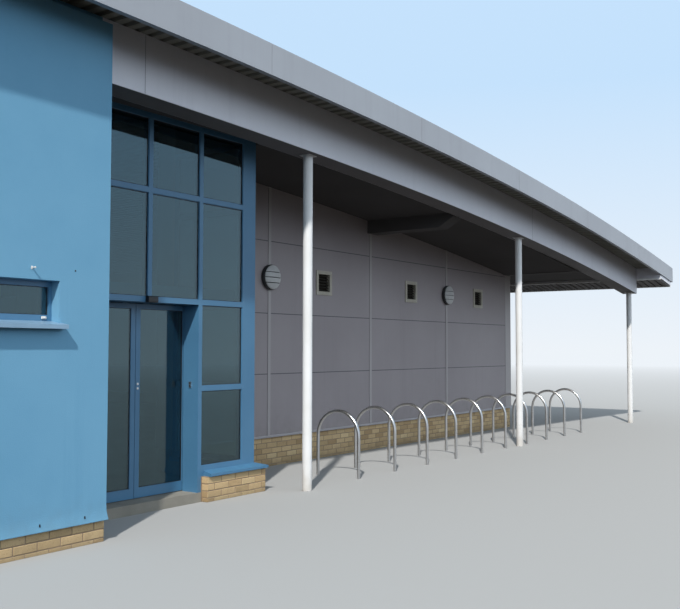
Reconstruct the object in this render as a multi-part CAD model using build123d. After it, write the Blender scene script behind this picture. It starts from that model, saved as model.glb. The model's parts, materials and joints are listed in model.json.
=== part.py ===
from build123d import *
import os
from math import cos, radians, sin, sqrt

# Sports centre with a shallow barrel roof, a blue rendered wall, a glazed entrance and a covered walk.
# Millimetres. X runs along the front, Y goes into the building, Z is up.
# The origin lies on the ground under the middle of the roof.

# Overall plan
ROOF_HALF_WIDTH = 18400
FRONT_Y = -9000
BACK_Y = 9000
VERGE_OVERHANG = 420
EAVES_LIP = 80
EAVES_BOX_WIDTH = 810
SIDE_WALK_WIDTH = 2610
GREY_FRONT_LENGTH = 9887
LOBBY_WIDTH = 2813
GLAZING_SETBACK = 751
GREY_WALL_SETBACK = 2042
WALL = 300

# Roof: every layer follows the same arc, set at its own crown height
ROOF_RADIUS = 134000
ROOF_TOP_CROWN = 4790
VERGE_FLANGE_THICK = 25
COVERING_THICK = 65
DECK_THICK = 75
VERGE_DEPTH = 320
VERGE_PLATE = 25
VERGE_FLANGE = 150
VERGE_LIP = 60
VERGE_LIP_THICK = 6
EAVES_PLATE = 20
EAVES_SHELL = 20
EAVES_INNER_DEPTH = 231
EAVES_OUTER_DEPTH = 247

# Front beam, cross beams, ceilings and columns
BEAM_SETBACK = 137
BEAM_WIDTH = 313
BEAM_DEPTH = 565
CEILING_DEPTH = 387
CEILING_SHIFT = 1844
CEILING_THICK = 30
CROSS_BEAM_PLACE = 7150
CROSS_BEAM_WIDTH = 300
CROSS_BEAM_DROP = 210
WALL_BEAM_WIDTH = 350
WALL_BEAM_DROP = 12
WALK_CEILING_RISE = 25
COLUMN_DIAMETER = 114.3
COLUMN_PITCH = 6000
COLUMN_EDGE = 80
SIDE_COLUMN_BAYS = 3

# Walls and plinths
FLOOR_Z = 104
RENDER_LOW_Z = 188
PANEL_LOW_Z = 408
RENDER_OVERHANG = 30
PANEL_OVERHANG = 20
RETURN_WALL_DEPTH = 900
RENDER_TOP_DROP = 95
STRIP_PITCH = 2611
FIRST_STRIP_PLACE = 4626
STRIP_WIDTH = 60
STRIP_THICK = 8

# High windows in the blue wall, repeated at the back
WINDOW_WIDTH = 2400
WINDOW_PITCH = 3780
WINDOW_LOW_Z = 1857
WINDOW_HIGH_Z = 2211
WINDOW_RIGHT_GAP = 519
FRONT_WINDOWS = 5
WINDOW_SETBACK = 100
WINDOW_DEPTH = 60
WINDOW_MEMBER = 28
WINDOW_MULLION = 50
WINDOW_TOP_RAIL = 44
WINDOW_LOW_RAIL = 70
SILL_OVERHANG = 90
SILL_END = 30
SILL_THICK = 41
SILL_NOSE_DROP = 7
SILL_BACK_RISE = 24

# Glazed entrance
GLAZING_DEPTH = 100
MULLION = 55
GLASS = 24
GLASS_SETBACK = 18
DOOR_CENTRE_PLACE = 1196
DOORWAY_HALF = 742
CORNER_POST = 219
RETURN_DEPTH = 60
HEAD_DEPTH = 535
TRANSOMS_Z = (2131, 3259)
LOW_TRANSOM_Z = 1195
BOTTOM_RAIL_Z = 332
SILL_BLOCK = 59
ENTRANCE_PLINTH_OUT = 75
ENTRANCE_PLINTH_SIDE_OUT = 115
ENTRANCE_PLINTH_DEPTH = 224
ENTRANCE_PLINTH_START = 22
SILL_OUT = 112
SILL_SIDE_OUT = 131
SILL_START = 40
SILL_SLOPE_RUN = 104
SILL_SLOPE_FALL = 31

# Sliding doors
REVEAL_DEPTH = 124
LEAF_CLEARANCE = 10
LEAF_DEPTH = 45
LEAF_FLOOR_GAP = 8
LEAF_HEAD_GAP = 10
LEAF_STILE = 58
LEAF_TOP_RAIL = 46
LEAF_BOTTOM_RAIL = 100
MEETING_GAP = 3
HEADER_DEPTH = 165
HEADER_HEIGHT = 200
HEADER_SHELL = 10
TRACK_RISE = 59
TRACK_THICK = 15
TRACK_WIDTH = 20
WHEEL_RADIUS = 20
WHEEL_WIDTH = 22
HANGER_WIDTH = 60
HANGER_THICK = 8
HANGER_PLACES = (0.2, 0.8)
SEAT_GAP = 0.3

# Door fittings
SENSOR_LENGTH = 130
SENSOR_HEIGHT = 68
SENSOR_DEPTH = 50
SENSOR_ROUND = 18
SENSOR_SHIFT = 20
SWITCH_HEIGHT = 65
SWITCH_WIDTH = 30
SWITCH_DEPTH = 12
SWITCH_INSET = 2
FITTING_Z = 1265
LOCK_HEIGHT = 70
LOCK_WIDTH = 30
LOCK_DEPTH = 8
LOCK_CORNER = 8

# Wall fittings
LIGHT_DIAMETER = 360
LIGHT_BODY_DEPTH = 60
LIGHT_BODY_BEVEL = 18
LENS_DIAMETER = 290
LENS_DEPTH = 50
LENS_BEVEL = 30
LIGHT_Z = 2666
VENT_WIDTH = 400
VENT_HEIGHT = 376
VENT_Z = 2664
VENT_FRAME = 45
VENT_LINING = 11
VENT_PROUD = 14
VENT_RECESS = 70
VENT_BLADES = 6
BLADE_WIDTH = 49
BLADE_THICK = 4
BLADE_TILT = 35

# Cycle hoops
HOOP_COUNT = 10
FIRST_HOOP_PLACE = 4367
HOOP_PITCH = 875
HOOP_FRONT_SETBACK = 333
HOOP_WIDTH = 645
HOOP_HEIGHT = 850
HOOP_TUBE = 42.4
HOOP_SIDES = 12
HOOP_BEND_PARTS = 10


def roof_z(crown, x):
    return crown - ROOF_RADIUS + sqrt(ROOF_RADIUS**2 - x**2)


# Places worked out from the sizes above
COVERING_TOP_CROWN = ROOF_TOP_CROWN - VERGE_FLANGE_THICK
DECK_TOP_CROWN = COVERING_TOP_CROWN - COVERING_THICK
DECK_SOFFIT_CROWN = DECK_TOP_CROWN - DECK_THICK
VERGE_LOW_CROWN = ROOF_TOP_CROWN - VERGE_DEPTH
BEAM_LOW_CROWN = DECK_SOFFIT_CROWN - BEAM_DEPTH
CEILING_CROWN = DECK_SOFFIT_CROWN - CEILING_DEPTH
HEAD_Z = DECK_SOFFIT_CROWN - HEAD_DEPTH
EAVES_OUTER_X = ROOF_HALF_WIDTH - EAVES_LIP
EAVES_INNER_X = EAVES_OUTER_X - EAVES_BOX_WIDTH
RIGHT_WALL_X = EAVES_INNER_X - SIDE_WALK_WIDTH
LEFT_WALL_X = -EAVES_INNER_X
LOBBY_RIGHT_X = RIGHT_WALL_X - GREY_FRONT_LENGTH
BLUE_CORNER_X = LOBBY_RIGHT_X - LOBBY_WIDTH
DOOR_CENTRE_X = BLUE_CORNER_X + DOOR_CENTRE_PLACE
DOOR_LEFT_X = DOOR_CENTRE_X - DOORWAY_HALF
DOOR_RIGHT_X = DOOR_CENTRE_X + DOORWAY_HALF
RETURN_FACE_X = LOBBY_RIGHT_X - RETURN_DEPTH
CROSS_BEAM_X = BLUE_CORNER_X + CROSS_BEAM_PLACE
WALL_BEAM_X = RIGHT_WALL_X - WALL_BEAM_WIDTH
CROSS_BEAM_Z = roof_z(CEILING_CROWN, CROSS_BEAM_X + CEILING_SHIFT) - CROSS_BEAM_DROP
WALL_BEAM_Z = roof_z(CEILING_CROWN, WALL_BEAM_X + CEILING_SHIFT) - WALL_BEAM_DROP
EAVES_INNER_Z = roof_z(DECK_SOFFIT_CROWN, EAVES_INNER_X) - EAVES_INNER_DEPTH
EAVES_OUTER_Z = roof_z(DECK_SOFFIT_CROWN, EAVES_OUTER_X) - EAVES_OUTER_DEPTH
WALK_CEILING_Z = EAVES_INNER_Z + WALK_CEILING_RISE
GLAZING_Y = FRONT_Y + GLAZING_SETBACK
GLAZING_BACK_Y = GLAZING_Y + GLAZING_DEPTH
GREY_Y = FRONT_Y + GREY_WALL_SETBACK
BEAM_Y = FRONT_Y + BEAM_SETBACK
BEAM_BACK_Y = BEAM_Y + BEAM_WIDTH
VERGE_Y = FRONT_Y - VERGE_OVERHANG
BACK_VERGE_Y = BACK_Y + VERGE_OVERHANG
RETURN_WALL_Y = FRONT_Y + RETURN_WALL_DEPTH
HEADER_Y = GLAZING_BACK_Y + REVEAL_DEPTH
LEAF_Y = HEADER_Y + LEAF_CLEARANCE
LEAF_LOW_Z = FLOOR_Z + LEAF_FLOOR_GAP
LEAF_HIGH_Z = TRANSOMS_Z[0] - LEAF_HEAD_GAP
TRACK_Z = TRANSOMS_Z[0] + TRACK_RISE
LAST_COLUMN_X = EAVES_INNER_X - COLUMN_EDGE
FIRST_COLUMN_X = LAST_COLUMN_X - 2 * COLUMN_PITCH
COLUMN_Y = BEAM_Y + BEAM_WIDTH / 2
BACK_COLUMN_Y = BACK_Y - BEAM_WIDTH / 2
REAR_BEAM_Y = BACK_Y - BEAM_WIDTH
ENTRANCE_PLINTH_Y = GLAZING_Y - ENTRANCE_PLINTH_OUT
ENTRANCE_PLINTH_X = LOBBY_RIGHT_X + ENTRANCE_PLINTH_SIDE_OUT
ENTRANCE_PLINTH_Z = BOTTOM_RAIL_Z - SILL_BLOCK
STRIP_XS = [BLUE_CORNER_X + FIRST_STRIP_PLACE + STRIP_PITCH * i for i in range(3)]
SIDE_STRIP_YS = [GREY_Y + STRIP_PITCH * i for i in range(1, 6)]
BACK_BAYS = int((RIGHT_WALL_X - LEFT_WALL_X - STRIP_WIDTH) / STRIP_PITCH)
BACK_STRIP_XS = [RIGHT_WALL_X - STRIP_PITCH * i for i in range(1, BACK_BAYS + 1)]
VENT_XS = [x + STRIP_PITCH / 2 for x in STRIP_XS]

os.makedirs("parts", exist_ok=True)


def save(name, *solids):
    shape = solids[0] if len(solids) == 1 else Compound(children=list(solids))
    export_step(shape, f"parts/{name}.step")


def block(x0, x1, y0, y1, z0, z1):
    return Pos((x0 + x1) / 2, (y0 + y1) / 2, (z0 + z1) / 2) * Box(x1 - x0, y1 - y0, z1 - z0)


def roof_arc(crown, x0, x1, y, shift=0):
    """An arc of the roof between two places. With a shift, its top lies that far to the left."""
    points = [(x, y, roof_z(crown, x + shift)) for x in (x0, (x0 + x1) / 2, x1)]
    return ThreePointArc(*points)


def prism_along_y(edges, length):
    return extrude(Face(Wire(edges)), amount=length, dir=(0, 1, 0))


def prism_along_x(places, x0, x1):
    outline = Polyline(*[(x0, y, z) for y, z in places], close=True)
    return extrude(Face(Wire(outline.edges())), amount=x1 - x0, dir=(1, 0, 0))


def roof_band(x0, x1, y0, y1, low_crown, high_crown, shift=0):
    """A layer of the roof between two arcs."""
    low = roof_arc(low_crown, x0, x1, y0, shift)
    high = roof_arc(high_crown, x0, x1, y0, shift)
    return prism_along_y([low, high, Line(low @ 0, high @ 0), Line(low @ 1, high @ 1)], y1 - y0)


def arched_block(x0, x1, y0, y1, z0, crown, shift=0):
    """A wall or post with a level foot and a top that follows the roof."""
    top = roof_arc(crown, x0, x1, y0, shift)
    foot = Line((x0, y0, z0), (x1, y0, z0))
    return prism_along_y([foot, top, Line(foot @ 0, top @ 0), Line(foot @ 1, top @ 1)], y1 - y0)


# Roof
def build_roof():
    edge = ROOF_HALF_WIDTH - EAVES_PLATE
    y0 = VERGE_Y + VERGE_PLATE
    y1 = BACK_VERGE_Y - VERGE_PLATE
    save("roof_deck", roof_band(-edge, edge, y0, y1, DECK_SOFFIT_CROWN, DECK_TOP_CROWN))
    save("roof_covering", roof_band(-edge, edge, y0, y1, DECK_TOP_CROWN, COVERING_TOP_CROWN))
    verges = []
    for face_y, inward in ((VERGE_Y, 1), (BACK_VERGE_Y, -1)):
        plate_ys = sorted((face_y, face_y + inward * VERGE_PLATE))
        flange_ys = sorted((face_y, face_y + inward * VERGE_FLANGE))
        lip_ys = sorted((face_y, face_y + inward * VERGE_LIP))
        w = ROOF_HALF_WIDTH
        plate = roof_band(-w, w, *plate_ys, VERGE_LOW_CROWN, ROOF_TOP_CROWN)
        flange = roof_band(-w, w, *flange_ys, COVERING_TOP_CROWN, ROOF_TOP_CROWN)
        lip = roof_band(
            -EAVES_INNER_X, EAVES_INNER_X, *lip_ys, VERGE_LOW_CROWN, VERGE_LOW_CROWN + VERGE_LIP_THICK
        )
        verges.append(plate + flange + lip)
    save("verge_fascias", *verges)
    fascias = []
    boxes = []
    for side in (-1, 1):
        xs = sorted((side * edge, side * ROOF_HALF_WIDTH))
        low = roof_z(VERGE_LOW_CROWN, ROOF_HALF_WIDTH)
        fascias.append(arched_block(*xs, y0, y1, low, COVERING_TOP_CROWN))
        boxes.append(eaves_box(side, y0, y1))
    save("eaves_fascias", *fascias)
    save("eaves_boxes", *boxes)


def eaves_box(side, y0, y1):
    """A closed sheet-metal box under the edge of the deck, with a soffit that slopes down outwards."""
    outside = eaves_outline(side, y0, y1, 0)
    inside = eaves_outline(side, y0 + EAVES_SHELL, y1 - EAVES_SHELL, EAVES_SHELL)
    return outside - inside


def eaves_outline(side, y0, y1, inset):
    inner_x = side * (EAVES_INNER_X + inset)
    outer_x = side * (EAVES_OUTER_X - inset)
    top = roof_arc(DECK_SOFFIT_CROWN - inset, inner_x, outer_x, y0)
    soffit = Line((inner_x, y0, EAVES_INNER_Z + inset), (outer_x, y0, EAVES_OUTER_Z + inset))
    return prism_along_y([top, soffit, Line(top @ 0, soffit @ 0), Line(top @ 1, soffit @ 1)], y1 - y0)


# Walls
def window_xs(count, first_x, pitch):
    return [first_x - pitch * i for i in range(count)]


FRONT_WINDOW_XS = window_xs(
    FRONT_WINDOWS, BLUE_CORNER_X - WINDOW_RIGHT_GAP - WINDOW_WIDTH, WINDOW_PITCH
)
BACK_WINDOW_XS = window_xs(
    BACK_BAYS // 2, RIGHT_WALL_X - STRIP_PITCH * 1.5 - WINDOW_WIDTH / 2, STRIP_PITCH * 2
)


def build_walls():
    blue = arched_block(LEFT_WALL_X, BLUE_CORNER_X, FRONT_Y, FRONT_Y + WALL, RENDER_LOW_Z, DECK_SOFFIT_CROWN)
    for x in FRONT_WINDOW_XS:
        blue -= block(x, x + WINDOW_WIDTH, FRONT_Y, FRONT_Y + WALL, WINDOW_LOW_Z, WINDOW_HIGH_Z)
    render_top = DECK_SOFFIT_CROWN - RENDER_TOP_DROP
    blue -= roof_band(LEFT_WALL_X, BLUE_CORNER_X, FRONT_Y, BEAM_Y, render_top, DECK_SOFFIT_CROWN)
    save("blue_front_wall", blue)
    corner = (BLUE_CORNER_X - WALL, BLUE_CORNER_X)
    save(
        "blue_return_wall",
        arched_block(*corner, FRONT_Y + WALL, RETURN_WALL_Y, RENDER_LOW_Z, DECK_SOFFIT_CROWN),
    )
    grey = arched_block(RETURN_FACE_X, RIGHT_WALL_X, GREY_Y, GREY_Y + WALL, PANEL_LOW_Z, DECK_SOFFIT_CROWN)
    for x in VENT_XS:
        grey -= vent_body(x, GREY_Y, VENT_RECESS, VENT_FRAME)
    save("grey_front_wall", grey)
    right_xs = (RIGHT_WALL_X - WALL, RIGHT_WALL_X)
    save(
        "grey_right_wall",
        arched_block(*right_xs, GREY_Y + WALL, BACK_Y - WALL, PANEL_LOW_Z, DECK_SOFFIT_CROWN),
    )
    left_xs = (LEFT_WALL_X, LEFT_WALL_X + WALL)
    save(
        "grey_left_wall",
        arched_block(*left_xs, FRONT_Y + WALL, BACK_Y - WALL, PANEL_LOW_Z, DECK_SOFFIT_CROWN),
    )
    back = arched_block(LEFT_WALL_X, RIGHT_WALL_X, BACK_Y - WALL, BACK_Y, PANEL_LOW_Z, DECK_SOFFIT_CROWN)
    for x in BACK_WINDOW_XS:
        back -= block(x, x + WINDOW_WIDTH, BACK_Y - WALL, BACK_Y, WINDOW_LOW_Z, WINDOW_HIGH_Z)
    save("grey_back_wall", back)


def build_plinths():
    blue_left = LEFT_WALL_X + RENDER_OVERHANG
    front = block(
        blue_left, BLUE_CORNER_X, FRONT_Y + RENDER_OVERHANG, FRONT_Y + WALL, 0, RENDER_LOW_Z
    )
    turn = block(
        BLUE_CORNER_X - WALL, BLUE_CORNER_X, FRONT_Y + WALL, RETURN_WALL_Y, 0, RENDER_LOW_Z
    )
    save("blue_wall_plinth", front + turn)
    left_x = LEFT_WALL_X + PANEL_OVERHANG
    right_x = RIGHT_WALL_X - PANEL_OVERHANG
    grey_y = GREY_Y + PANEL_OVERHANG
    save("grey_front_plinth", block(LOBBY_RIGHT_X, right_x, grey_y, GREY_Y + WALL, 0, PANEL_LOW_Z))
    save(
        "side_plinths",
        block(left_x, LEFT_WALL_X + WALL, FRONT_Y + WALL, BACK_Y - WALL, 0, PANEL_LOW_Z),
        block(RIGHT_WALL_X - WALL, right_x, GREY_Y + WALL, BACK_Y - WALL, 0, PANEL_LOW_Z),
    )
    save("back_plinth", block(left_x, right_x, BACK_Y - WALL, BACK_Y - PANEL_OVERHANG, 0, PANEL_LOW_Z))
    plinth_back = ENTRANCE_PLINTH_Y + ENTRANCE_PLINTH_DEPTH
    side_x = ENTRANCE_PLINTH_X - ENTRANCE_PLINTH_DEPTH
    under_front = block(DOOR_RIGHT_X, ENTRANCE_PLINTH_X, ENTRANCE_PLINTH_Y, plinth_back, 0, ENTRANCE_PLINTH_Z)
    under_side = block(side_x, ENTRANCE_PLINTH_X, ENTRANCE_PLINTH_Y, grey_y, 0, ENTRANCE_PLINTH_Z)
    plinth_start = DOOR_RIGHT_X + ENTRANCE_PLINTH_START
    before_frame = block(DOOR_RIGHT_X, plinth_start, ENTRANCE_PLINTH_Y, GLAZING_Y, 0, ENTRANCE_PLINTH_Z)
    save("entrance_plinth", under_front + under_side - before_frame)
    sill_y = GLAZING_Y - SILL_OUT
    sill_x = LOBBY_RIGHT_X + SILL_SIDE_OUT
    sill_front = block(DOOR_RIGHT_X, sill_x, sill_y, plinth_back, ENTRANCE_PLINTH_Z, BOTTOM_RAIL_Z)
    sill_side = block(side_x, sill_x, sill_y, GREY_Y, ENTRANCE_PLINTH_Z, BOTTOM_RAIL_Z)
    sill = sill_front + sill_side
    top = sill.faces().sort_by(Axis.Z)[-1]
    front_edge = top.edges().sort_by(Axis.Y)[0]
    side_edge = top.edges().sort_by(Axis.X)[-1]
    sill = chamfer([front_edge, side_edge], SILL_SLOPE_RUN, SILL_SLOPE_FALL, reference=top)
    sill_start = DOOR_RIGHT_X + SILL_START
    before_sill = block(DOOR_RIGHT_X, sill_start, sill_y, GLAZING_Y, ENTRANCE_PLINTH_Z, BOTTOM_RAIL_Z)
    save("entrance_sill", sill - before_sill)


def build_floor():
    inner_left = LEFT_WALL_X + WALL
    inner_back = BACK_Y - WALL
    plinth_back = ENTRANCE_PLINTH_Y + ENTRANCE_PLINTH_DEPTH
    side_x = ENTRANCE_PLINTH_X - ENTRANCE_PLINTH_DEPTH
    hall = block(inner_left, RIGHT_WALL_X - WALL, GREY_Y + WALL, inner_back, 0, FLOOR_Z)
    left_part = block(inner_left, BLUE_CORNER_X - WALL, FRONT_Y + WALL, GREY_Y + WALL, 0, FLOOR_Z)
    lobby = block(BLUE_CORNER_X - WALL, side_x, plinth_back, GREY_Y + WALL, 0, FLOOR_Z)
    lobby_corner = block(side_x, LOBBY_RIGHT_X, GREY_Y + PANEL_OVERHANG, GREY_Y + WALL, 0, FLOOR_Z)
    doorway = block(BLUE_CORNER_X, DOOR_RIGHT_X, GLAZING_Y, plinth_back, 0, FLOOR_Z)
    save("floor_slab", hall + left_part + lobby + lobby_corner + doorway)


# Windows
def window_sill(x0, x1, wall_face, inward):
    """A pressed sill that slopes down from the frame to its nose and fits between the reveals."""
    nose_y = wall_face - inward * SILL_OVERHANG
    frame_y = wall_face + inward * WINDOW_SETBACK
    foot_z = WINDOW_LOW_Z - SILL_THICK
    nose_z = WINDOW_LOW_Z - SILL_NOSE_DROP
    back_z = WINDOW_LOW_Z + SILL_BACK_RISE
    low_x, high_x = x0 - SILL_END, x1 + SILL_END
    sill = prism_along_x(
        [(nose_y, foot_z), (nose_y, nose_z), (frame_y, back_z), (frame_y, foot_z)], low_x, high_x
    )
    in_wall = sorted((wall_face, frame_y))
    sill -= block(low_x, high_x, *in_wall, foot_z, WINDOW_LOW_Z)
    sill -= block(low_x, x0, *in_wall, foot_z, back_z)
    return sill - block(x1, high_x, *in_wall, foot_z, back_z)


def add_windows(xs, wall_face, inward, frames, glasses, sills):
    frame_face = wall_face + inward * WINDOW_SETBACK
    frame_ys = sorted((frame_face, frame_face + inward * WINDOW_DEPTH))
    glass_face = frame_face + inward * GLASS_SETBACK
    glass_ys = sorted((glass_face, glass_face + inward * GLASS))
    pane_zs = (WINDOW_LOW_Z + WINDOW_LOW_RAIL, WINDOW_HIGH_Z - WINDOW_TOP_RAIL)
    for x in xs:
        x1 = x + WINDOW_WIDTH
        middle = x + WINDOW_WIDTH / 2
        frame = block(x, x1, *frame_ys, WINDOW_LOW_Z, WINDOW_HIGH_Z)
        for pane_xs in (
            (x + WINDOW_MEMBER, middle - WINDOW_MULLION / 2),
            (middle + WINDOW_MULLION / 2, x1 - WINDOW_MEMBER),
        ):
            frame -= block(*pane_xs, *frame_ys, *pane_zs)
            glasses.append(block(*pane_xs, *glass_ys, *pane_zs))
        frames.append(frame)
        sills.append(window_sill(x, x1, wall_face, inward))


def build_windows():
    frames = []
    glasses = []
    sills = []
    add_windows(FRONT_WINDOW_XS, FRONT_Y, 1, frames, glasses, sills)
    add_windows(BACK_WINDOW_XS, BACK_Y, -1, frames, glasses, sills)
    save("window_frames", *frames)
    save("window_glass", *glasses)
    save("window_sills", *sills)


# Glazed entrance
def panes_and_bars(xs, zs, y, across_x=True):
    """Bars on the grid lines given, and a pane in each cell between them."""
    bars = None
    panes = []
    x_low, x_high = xs[0][0], xs[-1][1]
    z_low, z_high = zs[0][0], zs[-1][1]
    depth = GLAZING_DEPTH if across_x else RETURN_DEPTH
    glass_y = y + GLASS_SETBACK if across_x else y + depth - GLASS_SETBACK - GLASS

    def place(a0, a1, b0, b1, z0, z1):
        return block(a0, a1, b0, b1, z0, z1) if across_x else block(b0, b1, a0, a1, z0, z1)

    for x0, x1 in xs:
        bar = place(x0, x1, y, y + depth, z_low, z_high)
        bars = bar if bars is None else bars + bar
    for z0, z1 in zs:
        if z1 > z0:
            bars += place(x_low, x_high, y, y + depth, z0, z1)
    for (_, left), (right, _) in zip(xs, xs[1:]):
        for (_, low), (high, _) in zip(zs, zs[1:]):
            panes.append(place(left, right, glass_y, glass_y + GLASS, low, high))
    return bars, panes


def build_entrance():
    door_transom, high_transom = [(z, z + MULLION) for z in TRANSOMS_Z]
    low_transom = (LOW_TRANSOM_Z, LOW_TRANSOM_Z + MULLION)
    bottom_rail = (BOTTOM_RAIL_Z, BOTTOM_RAIL_Z + MULLION)
    head = (HEAD_Z - MULLION, HEAD_Z)
    wall_post = (BLUE_CORNER_X, BLUE_CORNER_X + MULLION)
    left_mullion = (DOOR_LEFT_X, DOOR_LEFT_X + MULLION)
    door_mullion = (DOOR_CENTRE_X - MULLION, DOOR_CENTRE_X)
    right_mullion = (DOOR_RIGHT_X - MULLION, DOOR_RIGHT_X)
    corner_post = (LOBBY_RIGHT_X - CORNER_POST, LOBBY_RIGHT_X)

    upper, upper_panes = panes_and_bars(
        [wall_post, left_mullion, door_mullion, right_mullion, corner_post],
        [door_transom, high_transom, head], GLAZING_Y,
    )
    save("entrance_upper_frame", upper)
    below = (door_transom[0] - MULLION, door_transom[0])
    foot_rail = (FLOOR_Z, FLOOR_Z + MULLION)
    left, left_panes = panes_and_bars([wall_post, left_mullion], [foot_rail, below], GLAZING_Y)
    save("entrance_left_frame", left)
    low_right = (door_transom[0], door_transom[0])
    right, right_panes = panes_and_bars(
        [right_mullion, corner_post], [bottom_rail, low_transom, low_right], GLAZING_Y
    )
    foot = block(*right_mullion, GLAZING_Y, GLAZING_BACK_Y, FLOOR_Z, BOTTOM_RAIL_Z)
    save("entrance_right_frame", right + foot)
    side, side_panes = panes_and_bars(
        [(GLAZING_BACK_Y, GLAZING_BACK_Y + MULLION), (GREY_Y - MULLION, GREY_Y)],
        [bottom_rail, low_transom, door_transom, high_transom, head], RETURN_FACE_X, across_x=False,
    )
    save("entrance_side_frame", side)
    save("entrance_glass", *upper_panes, *left_panes, *right_panes, *side_panes)

    top = DECK_SOFFIT_CROWN
    over_front = arched_block(BLUE_CORNER_X, LOBBY_RIGHT_X, GLAZING_Y, GLAZING_BACK_Y, HEAD_Z, top)
    over_side = arched_block(RETURN_FACE_X, LOBBY_RIGHT_X, GLAZING_BACK_Y, GREY_Y, HEAD_Z, top)
    save("entrance_head_panel", over_front + over_side)

    lintel_z = TRANSOMS_Z[0]
    save(
        "door_reveals",
        block(*left_mullion, GLAZING_BACK_Y, HEADER_Y, FLOOR_Z, lintel_z),
        block(*right_mullion, GLAZING_BACK_Y, HEADER_Y, FLOOR_Z, lintel_z),
    )
    save(
        "doorway_lintel",
        block(DOOR_LEFT_X, DOOR_RIGHT_X, GLAZING_BACK_Y, HEADER_Y, lintel_z, lintel_z + MULLION),
    )


# Sliding doors
def build_doors():
    low_z = TRANSOMS_Z[0]
    x0 = BLUE_CORNER_X - WALL
    x1 = DOOR_RIGHT_X + (DOOR_LEFT_X - x0)
    header = block(x0, x1, HEADER_Y, HEADER_Y + HEADER_DEPTH, low_z, low_z + HEADER_HEIGHT)
    channel_back = LEAF_Y + LEAF_DEPTH + LEAF_CLEARANCE
    channel_top = low_z + HEADER_HEIGHT - HEADER_SHELL
    header -= block(x0, x1, HEADER_Y + HEADER_SHELL, channel_back, low_z, channel_top)
    header += block(x0, x1, channel_back - TRACK_WIDTH, channel_back, TRACK_Z - TRACK_THICK, TRACK_Z)
    save("door_header", header)

    for side, name in ((-1, "left"), (1, "right")):
        edges = sorted((DOOR_CENTRE_X + side * MEETING_GAP, DOOR_CENTRE_X + side * DOORWAY_HALF))
        leaf = block(*edges, LEAF_Y, LEAF_Y + LEAF_DEPTH, LEAF_LOW_Z, LEAF_HIGH_Z)
        light_x = (edges[0] + LEAF_STILE, edges[1] - LEAF_STILE)
        light_z = (LEAF_LOW_Z + LEAF_BOTTOM_RAIL, LEAF_HIGH_Z - LEAF_TOP_RAIL)
        leaf -= block(*light_x, LEAF_Y, LEAF_Y + LEAF_DEPTH, *light_z)
        for share in HANGER_PLACES:
            x = edges[0] + share * (edges[1] - edges[0])
            leaf += hanger(x, HEADER_Y + HEADER_SHELL + HANGER_THICK)
        save(f"{name}_door_leaf", leaf)
        glass_y = LEAF_Y + (LEAF_DEPTH - GLASS) / 2
        save(f"{name}_door_glass", block(*light_x, glass_y, glass_y + GLASS, *light_z))


def hanger(x, y):
    """A plate that rises from the leaf into the header and carries a wheel on the track."""
    axle_z = TRACK_Z + WHEEL_RADIUS + SEAT_GAP
    top_z = axle_z + WHEEL_RADIUS
    plate = block(x - HANGER_WIDTH / 2, x + HANGER_WIDTH / 2, y, y + HANGER_THICK, LEAF_HIGH_Z, top_z)
    wheel_y = y + HANGER_THICK + WHEEL_WIDTH / 2
    wheel = Pos(x, wheel_y, axle_z) * Rot(90, 0, 0) * Cylinder(WHEEL_RADIUS, WHEEL_WIDTH)
    return plate + wheel


# Canopy over the walk
def cross_beams():
    ends = (CROSS_BEAM_X, CROSS_BEAM_X + CROSS_BEAM_WIDTH)
    return [
        arched_block(*ends, BEAM_BACK_Y, GREY_Y, CROSS_BEAM_Z, DECK_SOFFIT_CROWN),
        arched_block(WALL_BEAM_X, RIGHT_WALL_X, BEAM_BACK_Y, GREY_Y, WALL_BEAM_Z, DECK_SOFFIT_CROWN),
    ]


def ceiling_bay(x0, x1):
    top = CEILING_CROWN + CEILING_THICK
    return roof_band(x0, x1, BEAM_BACK_Y, GREY_Y, CEILING_CROWN, top, CEILING_SHIFT)


def build_canopy():
    beam = roof_band(BLUE_CORNER_X, EAVES_INNER_X, BEAM_Y, BEAM_BACK_Y, BEAM_LOW_CROWN, DECK_SOFFIT_CROWN)
    rear_beam = roof_band(
        RIGHT_WALL_X, EAVES_INNER_X, REAR_BEAM_Y, BACK_Y, BEAM_LOW_CROWN, DECK_SOFFIT_CROWN
    )
    save("fascia_beams", beam, rear_beam)
    save("canopy_cross_beams", *cross_beams())
    over_doors = block(
        BLUE_CORNER_X, LOBBY_RIGHT_X, BEAM_BACK_Y, GLAZING_Y, HEAD_Z, HEAD_Z + CEILING_THICK
    )
    first_bay = ceiling_bay(LOBBY_RIGHT_X, CROSS_BEAM_X)
    second_bay = ceiling_bay(CROSS_BEAM_X + CROSS_BEAM_WIDTH, WALL_BEAM_X)
    side_bay = block(
        RIGHT_WALL_X, EAVES_INNER_X, BEAM_BACK_Y, REAR_BEAM_Y, WALK_CEILING_Z, WALK_CEILING_Z + CEILING_THICK
    )
    save("canopy_ceiling", over_doors + first_bay, second_bay, side_bay)


def column(x, y, crown):
    """A round post cut off along the slope of the beam that it carries."""
    r = COLUMN_DIAMETER / 2
    tube = Pos(x, y, ROOF_TOP_CROWN / 2) * Cylinder(r, ROOF_TOP_CROWN)
    return tube & arched_block(x - 2 * r, x + 2 * r, y - 2 * r, y + 2 * r, 0, crown)


def build_columns():
    xs = [FIRST_COLUMN_X + COLUMN_PITCH * i for i in range(3)]
    front = [column(x, COLUMN_Y, BEAM_LOW_CROWN) for x in xs]
    bay = (BACK_COLUMN_Y - COLUMN_Y) / SIDE_COLUMN_BAYS
    post = Pos(LAST_COLUMN_X, COLUMN_Y, WALK_CEILING_Z / 2) * Cylinder(COLUMN_DIAMETER / 2, WALK_CEILING_Z)
    sides = [Pos(0, bay * i, 0) * post for i in range(1, SIDE_COLUMN_BAYS)]
    save("columns", *front, *sides, column(LAST_COLUMN_X, BACK_COLUMN_Y, BEAM_LOW_CROWN))


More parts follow.
